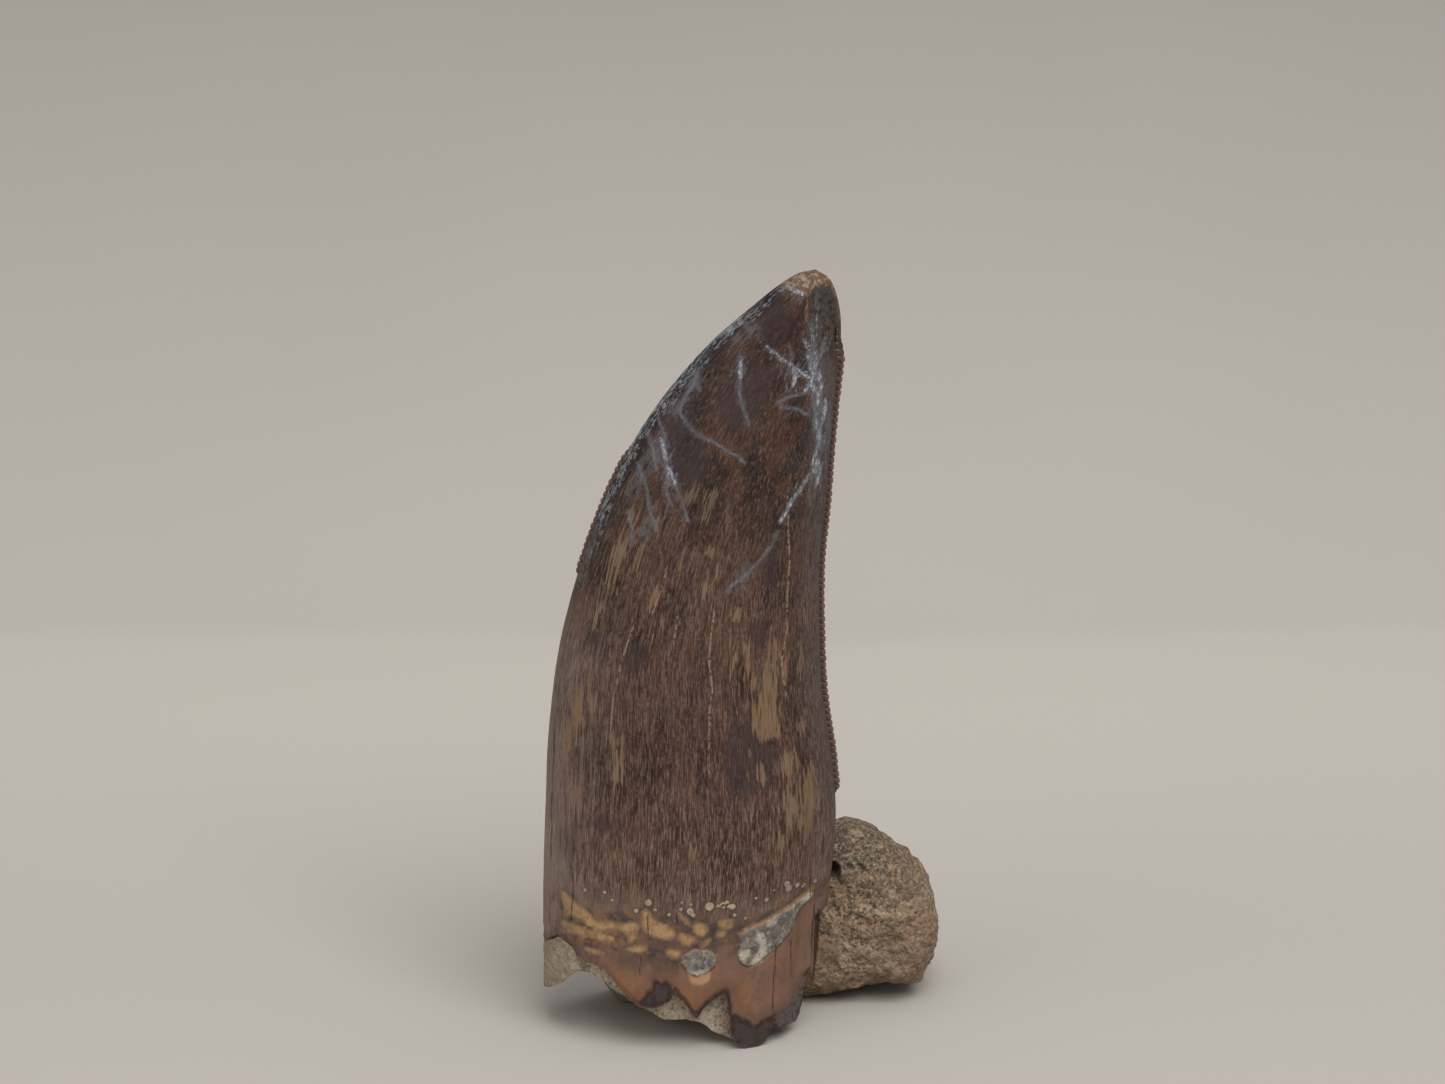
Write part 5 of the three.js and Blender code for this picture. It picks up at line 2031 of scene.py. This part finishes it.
@dataclass(frozen=True)
class FractureFinish:
    """Fresh break through the root wall: grey-brown dentine, mottled darker and paler."""

    pale: Colour = paint(106, 84, 70)
    dark: Colour = paint(62, 51, 46)

    def material(self) -> bpy.types.Material:
        """Builds the material of the fracture and of the hollow's wall.

        Returns:
            The material.
        """
        g = Finish("broken_dentine")
        place = g.object_mm()
        value = g.noise(place, 1.3, 5.0, 0.65)
        colour = g.blend(g.step(value, 0.38, 0.64), self.dark, self.pale)
        height = g.noise(place, 2.6, 5.0, 0.7) * 0.3
        return g.surface(colour, 0.6 + value * 0.2, height, 0.8, 0.35)


@dataclass(frozen=True)
class SerrationFinish:
    """The saw edge: thin reddish-brown enamel, with painted shade in the notches."""

    crest: Colour = paint(106, 74, 60)
    notch: Colour = paint(48, 32, 28)
    blotch: Colour = paint(80, 62, 56)

    def material(self) -> bpy.types.Material:
        """Builds the material of both saw edges.

        Returns:
            The material.
        """
        name = "serrated_enamel"
        found = bpy.data.materials.get(name)
        if found:
            return found
        g = Finish(name)
        place = g.object_mm()
        # Painted shade: the notches and the lower parts of each tooth are darkened.
        lit = g.step(g.field("tooth_place"), 0.1, 0.9) * g.step(g.field("crest"), 0.0, 0.7)
        mottled = g.noise(place, 0.9, 4.0, 0.6)
        colour = g.blend(lit, self.notch, self.crest)
        colour = g.blend(g.step(mottled, 0.46, 0.64) * 0.5, colour, self.blotch)
        height = g.noise(place, 5.0, 3.0) * 0.03
        return g.surface(colour, 0.34 + mottled * 0.2, height, 0.7, 0.45)


@dataclass(frozen=True)
class StoneFinish:
    """A sandy stone: a base tone with clouds, grains of several kinds, dark pits, and painted shade in its
    gaps and on the plug's underside.
    """

    name: str
    base: Colour
    shade: Colour
    light_grain: Colour
    # Dark grains; the same tone is laid as painted shade by the gap field.
    dark_grain_and_shade: Colour
    rust_grain: Colour
    smooth: Colour
    stain: Colour
    grain_size: float
    contrast: float
    rust_share: float
    bump: float

    def material(self) -> bpy.types.Material:
        """Builds the material.

        Returns:
            The stone's finish.
        """
        g = Finish(self.name)
        place = g.object_mm()
        bend = g.noise(place, 0.8, 5.0, 0.65)
        salt = g.noise(place, 0.85 / self.grain_size, 4.0, 0.78)
        sand = g.sand(place, self.grain_size)
        coarse = g.sand(place, self.grain_size * 2.1)
        clouds = g.cloud(place, 3.2, 0.4, 0.62)
        colour = g.blend(clouds, self.base, self.shade)
        opened = g.field("open_grain") + (g.noise(place, 0.34, 4.0, 0.6) - 0.5) * 1.5
        opened = g.larger(g.step(opened, 0.25, 0.75), g.field("dim"))
        colour = g.blend((1.0 - opened) * 0.7, colour, self.smooth)
        strength = (0.52 + opened * 0.52) * self.contrast
        stained = g.cloud(place, 1.7, 0.5, 0.66)
        colour = g.blend(stained * 0.45, colour, self.stain)
        rusty = g.cloud(place, 2.1, 0.55, 0.68)
        colour = g.blend(rusty * self.rust_share, colour, self.rust_grain)
        colour = g.blend(g.field("dim"), colour, self.dark_grain_and_shade)

        def lay(mask: Wire, share: float, tone: Colour) -> Wire:
            """The colour with one kind of grain laid over it."""
            return g.blend(mask * share * strength, colour, tone)

        colour = lay(g.step(salt, 0.51, 0.61), 0.62, self.light_grain)
        colour = lay(g.step(salt, 0.48, 0.38), 0.72, self.dark_grain_and_shade)
        colour = lay(g.step(sand["Tone"], 0.4, 0.9), 0.36, self.light_grain)
        colour = lay(g.step(sand["Kind"], 0.82, 0.88), 0.7, self.dark_grain_and_shade)
        colour = lay(g.step(sand["Kind"], 0.1, 0.05), 0.5, self.rust_grain)
        colour = lay(g.step(coarse["Tone"], 0.93, 0.95), 0.5, self.light_grain)
        colour = lay(g.step(coarse["Kind"], 0.972, 0.98), 0.6, self.rust_grain)
        colour = lay(g.patches(place, 1.3, 0.45, 0.33, 5.0, 0.72), 0.62, self.dark_grain_and_shade)
        # Painted shade: the "gap" field darkens the plug's underside and the lump's recess by the wall.
        colour = g.blend(g.field("gap") * 0.8, colour, self.dark_grain_and_shade)
        grains = sand["Grain"] * 0.22 + salt * 0.6 + coarse["Grain"] * 0.16
        return g.surface(colour, 0.8 + bend * 0.15, bend * 0.5 + grains * self.grain_size, self.bump, 0.25)


PLUG_STONE = StoneFinish(
    name="grey_sandy_matrix",
    base=paint(176, 161, 141),
    shade=paint(152, 136, 118),
    light_grain=paint(198, 184, 162),
    dark_grain_and_shade=paint(82, 77, 74),
    rust_grain=paint(150, 118, 90),
    smooth=paint(138, 120, 102),
    stain=paint(112, 92, 74),
    grain_size=0.3,
    contrast=0.7,
    rust_share=0.12,
    bump=0.75,
)
LUMP_STONE = StoneFinish(
    name="coarse_brown_sandstone",
    base=paint(142, 122, 100),
    shade=paint(126, 108, 90),
    light_grain=paint(178, 158, 132),
    dark_grain_and_shade=paint(64, 57, 50),
    rust_grain=paint(152, 112, 76),
    smooth=paint(124, 103, 87),
    stain=paint(108, 88, 70),
    grain_size=0.3,
    contrast=1.0,
    rust_share=0.3,
    bump=0.9,
)


# ---------------------------------------------------------------- floor, light and camera


@dataclass(frozen=True)
class Softbox:
    """A square area light that faces a point; lengths in metres, power in watts."""

    name: str
    place: Point
    side: float
    watts: float
    aim: Point = (0.0, 0.0, 0.02)
    tint: Point = (1.0, 0.985, 0.975)

    def build(self) -> None:
        """Adds the light and turns it towards its aim."""
        data = bpy.data.lights.new(self.name, "AREA")
        data.shape, data.size, data.energy, data.color = "SQUARE", self.side, self.watts, self.tint
        lamp = bpy.data.objects.new(self.name, data)
        away = np.array(self.place) - np.array(self.aim)
        away = away / np.linalg.norm(away)
        lamp.location = self.place
        lamp.rotation_euler = (math.acos(away[2]), 0.0, math.atan2(away[1], away[0]) + math.pi / 2)
        bpy.context.scene.collection.objects.link(lamp)


SOFTBOXES = (
    Softbox("key_softbox", (0.25, -0.55, 0.82), side=0.7, watts=8.0),
    Softbox("overhead_softbox", (0.1, 0.0, 0.95), side=1.0, watts=2.9),
    Softbox("left_fill", (-0.85, -0.6, 0.4), 0.8, 1.8, aim=(0.0, 0.0, 0.03), tint=(1.0, 0.985, 0.965)),
)


@dataclass
class Studio:
    """A pale sheet that lies under the tooth and curves up behind it, soft lights, and the camera."""

    half_width: float = 3.0
    front: float = -3.0
    bend_start: float = 0.142
    bend_radius: float = 0.2
    bend_steps: int = 40
    flat_end: float = -0.158
    wall_top: float = 1.2
    sheet: Colour = paint(185, 180, 173)
    sheet_bend_shade: Colour = paint(180, 175, 169)
    sheet_far_shade: Colour = paint(120, 116, 113)
    camera_place: Point = (-0.002048, -0.326408, 0.126419)
    camera_tilt: float = 76.5
    lens: float = 85.0
    sensor_width: float = 36.0
    clip: Span = (0.01, 10.0)
    surroundings: Colour = (1.0, 0.99, 0.98, 1.0)
    surround_strength: float = 0.5

    def build_sheet(self) -> None:
        """The sheet: flat, then a quarter circle, then upright, carried straight along X."""
        bend = np.linspace(0.0, math.pi / 2, self.bend_steps)
        profile = np.vstack([
            [[self.front, 0.0], [self.flat_end, 0.0]],
            np.stack([np.sin(bend), 1 - np.cos(bend)], axis=1) * self.bend_radius + [self.bend_start, 0.0],
            [[self.bend_start + self.bend_radius, self.wall_top]],
        ])
        xs = np.linspace(-self.half_width, self.half_width, 3)
        grid = np.stack([
            np.repeat(xs[None, :], len(profile), axis=0),
            np.repeat(profile[:, :1], 3, axis=1),
            np.repeat(profile[:, 1:], 3, axis=1),
        ], axis=-1)
        at = np.arange(grid[..., 0].size).reshape(grid.shape[:2])
        quads = np.stack([at[:-1, :-1], at[:-1, 1:], at[1:, 1:], at[1:, :-1]], axis=-1).reshape(-1, 4)
        mesh = bpy.data.meshes.new("backdrop_sheet")
        mesh.from_pydata(grid.reshape(-1, 3).tolist(), [], quads.tolist())
        mesh.polygons.foreach_set("use_smooth", np.ones(len(mesh.polygons), dtype=bool))
        sheet = bpy.data.objects.new("backdrop_sheet", mesh)
        bpy.context.scene.collection.objects.link(sheet)
        mesh.materials.append(self.sheet_finish())

    def sheet_finish(self) -> bpy.types.Material:
        """Pale paper with painted shade: a little greyer on its bend, darker up the wall, towards the front
        and to the right.

        Returns:
            The material.
        """
        g = Finish("pale_sheet")
        place = g.object_mm()
        across, deep, up = (g.part(place, axis) for axis in "XYZ")
        away = deep + up * 0.9 + g.noise(place, 0.012, 3.0, 0.5) * 40.0
        # Painted shade on the bend and up the wall, then towards the front and the right.
        colour = g.blend(g.step(away, 155.0, 168.0), self.sheet, self.sheet_bend_shade)
        far = g.node("ShaderNodeMapRange", {"Value": away, "From Min": 165.0, "From Max": 580.0})
        colour = g.blend(far, colour, self.sheet_far_shade)
        dimmer = g.step(deep, 120.0, 0.0) * 0.18 + g.step(across, -20.0, 220.0) * 0.09
        colour = g.blend(dimmer, colour, self.sheet_far_shade)
        return g.surface(colour, 0.85, g.noise(place, 1.2, 4.0, 0.6) * 0.05, 0.3, 0.2)

    def surround(self) -> None:
        """Fills the surroundings with even light."""
        world = bpy.data.worlds.new("soft_surroundings")
        world.use_nodes = True
        g = Graph(world.node_tree)
        light = {"Color": self.surroundings, "Strength": self.surround_strength}
        g.place("ShaderNodeOutputWorld", {"Surface": g.node("ShaderNodeBackground", light)})
        bpy.context.scene.world = world

    def place_camera(self) -> None:
        """Puts the camera in its place, looking down a little."""
        data = bpy.data.cameras.new("camera")
        data.lens, data.sensor_width, data.sensor_fit = self.lens, self.sensor_width, "HORIZONTAL"
        data.clip_start, data.clip_end = self.clip
        camera = bpy.data.objects.new("camera", data)
        camera.location = self.camera_place
        camera.rotation_euler = (math.radians(self.camera_tilt), 0.0, 0.0)
        bpy.context.scene.collection.objects.link(camera)
        bpy.context.scene.camera = camera

    def build(self) -> None:
        """Sets up the sheet, the lights, the soft surroundings and the camera."""
        self.build_sheet()
        for softbox in SOFTBOXES:
            softbox.build()
        self.surround()
        self.place_camera()
        bpy.context.scene.view_settings.view_transform = "Standard"
        log.info("studio: sheet, %d lights, camera with a %.0f mm lens", len(SOFTBOXES), self.lens)


def main() -> None:
    """Builds the specimen and its studio."""
    logging.basicConfig(level=logging.INFO, format="%(name)s: %(message)s")
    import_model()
    form = BladeForm()
    Crown(form).build()
    SawEdge(form, "distal_saw_edge", outward=1, low=23.2, high=70.0, valley=0.34, peak=0.58).build()
    SawEdge(form, "mesial_saw_edge", outward=-1, low=45.2, high=60.0, valley=0.12, peak=0.36).build()
    SedimentPlug(form).build()
    SandstoneLump(form).build()
    Studio().build()


if __name__ == "__main__":
    main()
